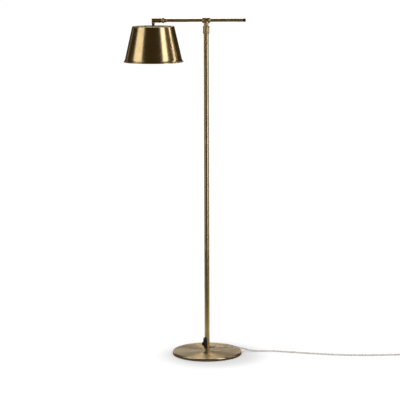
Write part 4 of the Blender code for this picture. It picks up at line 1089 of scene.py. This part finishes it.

# %% [markdown]
# ### The plug
# The cord ends in a moulded two-pin plug that lies on its side. It is lofted: a superellipse whose half
# width, half height and squareness change along it, from the round cord to the flat ribbed grip. Its pins
# wear plastic sleeves as a second finish.

# %% The plug and its pins
def moulded_plug():
    """Loft: P(s, a) = (w(s) c(a), s, h(s) d(a)), with a superellipse (c, d) that squares itself along s."""
    stations = np.array([(0, 0.0034, 0.0034), (0.0015, 0.0040, 0.0040), (0.0110, 0.0046, 0.0046),
                         (0.0145, 0.0062, 0.0052), (0.0180, 0.0100, 0.0066), (0.0210, 0.0117, 0.00685),
                         (0.0300, 0.0144, 0.00685), (0.0400, 0.0169, 0.00685), (0.0470, 0.0172, 0.00685),
                         (0.0493, 0.0171, 0.0067), (0.0500, 0.0164, 0.0061)])
    s, w, h = smooth_path(stations, steps=7).T
    grip_from, grip_to, rib = 0.0225, 0.0385, 0.0032
    ribs = 0.00045 * (1 - np.cos(2 * math.pi * (s - grip_from) / rib)) / 2
    w = w - np.where((s > grip_from) & (s < grip_to), ribs, 0)
    power = 1 - 0.42 * smoothstep((s - 0.012) / 0.008)
    a = np.linspace(0, 2 * math.pi, 72, endpoint=False)
    c, d = superellipse(a, power[:, None])
    grid = np.stack([PLUG_X + w[:, None] * c, PLUG_ENTRY_Y + s[:, None] + 0 * c,
                     PLUG_MIDDLE + h[:, None] * d], -1)
    tips = np.array([(PLUG_X, PLUG_ENTRY_Y + end, PLUG_MIDDLE) for end in (s[0], s[-1])])
    tips = np.repeat(tips[:, None], len(a), axis=1)
    grid = np.vstack([tips[:1], grid, tips[1:]])
    along = np.concatenate([[0], s + 0.001, s[-1:] + 0.01])
    return grid_piece("plug_grip", grid, along)


plug = moulded_plug()
plug.data.set_sharp_from_angle(angle=math.radians(50))
belongs(plug, "stand", "plug_plastic", "plug_body")
for name, side in (("plug_pin_left", -1), ("plug_pin_right", 1)):
    pin = solid(name.replace("plug", "plug_contact"), [
        (0, 0.0503), (0.0019, 0.0503, 0.0001), (0.0019, 0.0600, 0.0001), (0.0020, 0.0601, 0.0001),
        (0.0020, 0.0683, 0.0006), (0.0014, 0.0693, 0.0004), (0, 0.0693)], 40, (0, 1, 0),
        (PLUG_X + side * 0.0093, PLUG_ENTRY_Y, PLUG_MIDDLE), inside=(1, 3))
    belongs(pin, "stand", "pin_nickel", name, finishes=[FINISH["pin_nickel"], FINISH["plug_plastic"]])

# %% [markdown]
# ## The pieces inside
# The weight, the studs, the sleeves, the nuts and the leads stay as the engineering model made them, because
# their shapes are right and they are hidden. Each still wears the finish that its material in
# model.glb names.

# %% Finishes of the pieces inside
SLOT_OF = {}
for name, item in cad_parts.items():
    if item.hide_render:
        continue
    slot = item.material_slots[0].material.name.split(".")[0]
    item.material_slots[0].material = FINISH[slot]
    SLOT_OF[name] = slot
print("finishes inside:", SLOT_OF)

# %% [markdown]
# ## The studio
# The lamp is lit as brass is always lit: tall softboxes left and right, strips further round, and darkness
# in between, because polished metal only shows what stands round it. First come the floor and the air. They
# behave differently for the camera than for reflections: to the camera both are plain white, with a painted
# pool of shadow round the base, but brass sees a dim room and a warm floor close by, on which a dark patch
# under the base is painted shadow and the lighter ring round it is painted light. Both tell a camera ray
# from a reflected one with Light Path, and nothing on the lamp does.

# %% The floor and the air
FLOOR_REACH = 60.0
# Centre of the painted pool of shadow on the paper.
SHADOW_CENTRE = (0.025, -0.030, 0.0)
WHITE = (1.0, 1.0, 1.0)


def stage_tree(data):
    """Cleared node tree of a new material or world."""
    data.use_nodes = True
    data.node_tree.nodes.clear()
    return data.node_tree


def distance_from(tree, place, centre=(0.0, 0.0, 0.0), scale=WHITE):
    """Distance of a place from a centre, with each axis scaled first."""
    moved = node(tree, "ShaderNodeVectorMath", {0: place, 1: centre}, operation="SUBTRACT").outputs["Vector"]
    scaled = node(tree, "ShaderNodeVectorMath", {0: moved, 1: scale}, operation="MULTIPLY").outputs["Vector"]
    return node(tree, "ShaderNodeVectorMath", {0: scaled}, operation="LENGTH").outputs["Value"]


def studio_floor():
    """Plane: paper with a painted shadow to the camera, dim ground with painted shade and light to mirrors.
    """
    reach = FLOOR_REACH
    mesh = bpy.data.meshes.new("studio_floor")
    mesh.from_pydata([(-reach, -reach, 0), (reach, -reach, 0), (reach, reach, 0), (-reach, reach, 0)], [],
                     [(0, 1, 2, 3)])
    material = bpy.data.materials.new("studio_floor")
    tree = stage_tree(material)
    place = node(tree, "ShaderNodeTexCoord").outputs["Object"]
    # To mirrors the floor is painted dark under the base as shadow, painted light round it, and dim further
    # out.
    reflected_floor_shade_and_light = blend_colour(tree, ramp(tree, distance_from(tree, place), 0.18, 0.30), (0.10, 0.09, 0.08),
                        (0.60, 0.57, 0.46))
    stretched = distance_from(tree, place, scale=(0.35, 1.0, 0.0))
    mirrored = blend_colour(tree, ramp(tree, stretched, 0.30, 0.60), reflected_floor_shade_and_light, (0.12, 0.10, 0.06))
    # To the camera the paper is painted grey round the base as a soft pool of shadow.
    paper = blend_colour(tree, ramp(tree, distance_from(tree, place, SHADOW_CENTRE), 0.13, 0.25),
                         (0.76, 0.76, 0.76), WHITE)
    path = node(tree, "ShaderNodeLightPath").outputs
    seen = reckon(tree, "MAXIMUM", path["Is Camera Ray"], path["Is Transmission Ray"])
    shader = node(tree, "ShaderNodeBsdfDiffuse", {"Color": blend_colour(tree, seen, mirrored, paper)})
    node(tree, "ShaderNodeOutputMaterial", {"Surface": shader.outputs[0]})
    mesh.materials.append(material)
    placed("studio_floor", mesh)


def studio_air(backdrop=1.05, fill_light=0.74, through=0.15, dark=0.045):
    """World: bright to the camera, soft to diffuse surfaces, faint through the flex, dark to mirrors."""
    world = bpy.data.worlds.new("studio_air")
    tree = stage_tree(world)
    path = node(tree, "ShaderNodeLightPath").outputs
    strength = added(tree, dark, (path["Is Camera Ray"], backdrop - dark),
                     (path["Is Transmission Ray"], through), (path["Is Diffuse Ray"], fill_light - dark),
                     clamp=False)
    colour = blend_colour(tree, path["Is Glossy Ray"], WHITE, (1.0, 0.78, 0.38))
    background = node(tree, "ShaderNodeBackground", {"Color": colour, "Strength": strength})
    node(tree, "ShaderNodeOutputWorld", {"Surface": background.outputs[0]})
    world.cycles.sampling_method = "NONE"
    bpy.context.scene.world = world


studio_floor()
studio_air()
bpy.context.scene.view_settings.view_transform = "Standard"
print("paper, air and plain colours set")

# %% [markdown]
# ### The lights
# Each softbox is placed by the bearing from which it shines, to the right of the camera when positive. The
# upper ones light the shade and the lower ones the pole. Two boxes behind the lamp, one low and one high,
# make the bright wedges in the base's brushing, and a box overhead models the arm. All of them show in
# reflections only; the paper gets its light from the air and from a wide sun that mirrors can't see, which
# stands for a white ceiling.

# %% The lights
BOX_AIM = -0.1
BOX_DISTANCE = 2.5


def softbox(name, bearing, width, low, high, brightness, colour=WHITE, distance=BOX_DISTANCE):
    """Upright rectangle of light, a distance from the point (BOX_AIM, 0), that looks at it."""
    angle = math.radians(bearing)
    data = bpy.data.lights.new(name, "AREA")
    data.shape = "RECTANGLE"
    data.size = width
    data.size_y = high - low
    data.energy = brightness * math.pi * width * (high - low)
    data.color = colour
    lamp = placed(name, data)
    lamp.location = (BOX_AIM + distance * math.sin(angle), -distance * math.cos(angle), (low + high) / 2)
    lamp.rotation_euler = (math.pi / 2, 0.0, angle)
    lamp.visible_camera = False
    lamp.visible_diffuse = False
    return lamp


for name, *values in (
        ("box_left_high", -68.5, 1.68, 1.30, 3.30, 1.60),
        ("box_left_low", -68.5, 1.68, 0.05, 1.30, 0.48, (0.97, 1.0, 0.92)),
        ("box_right_high", 51.2, 1.00, 1.30, 3.30, 2.65, (0.92, 0.94, 1.0)),
        ("box_right_low", 51.2, 1.00, 0.05, 1.30, 2.30, (0.95, 1.0, 1.0)),
        ("glow_right", 76, 1.00, 0.40, 3.30, 0.05, (1.0, 0.66, 0.20)),
        ("strip_right_high", 99.5, 0.36, 1.30, 3.30, 3.60, (0.92, 0.94, 1.0)),
        ("strip_right_low", 99.5, 0.50, 0.05, 1.30, 1.00),
        ("strip_back_left", -131, 0.35, 0.10, 3.00, 0.25, (1.0, 0.98, 0.95)),
        ("low_backdrop", 180, 4.00, 0.05, 1.15, 0.50),
        ("box_back_high", 180, 1.30, 2.15, 3.60, 4.2)):
    softbox(name, *values)
overhead = softbox("box_above", 180, 1.6, 2.2, 3.2, 0.8, distance=1.1)
overhead.rotation_euler = (math.radians(35), 0.0, math.pi)
sun = bpy.data.lights.new("ceiling", "SUN")
sun.energy = 1.0
sun.angle = math.radians(60)
ceiling = placed("ceiling", sun)
ceiling.rotation_euler = (math.radians(12), math.radians(-18), 0)
ceiling.visible_glossy = False
ceiling.visible_camera = False
print(len(bpy.data.lights), "lights")
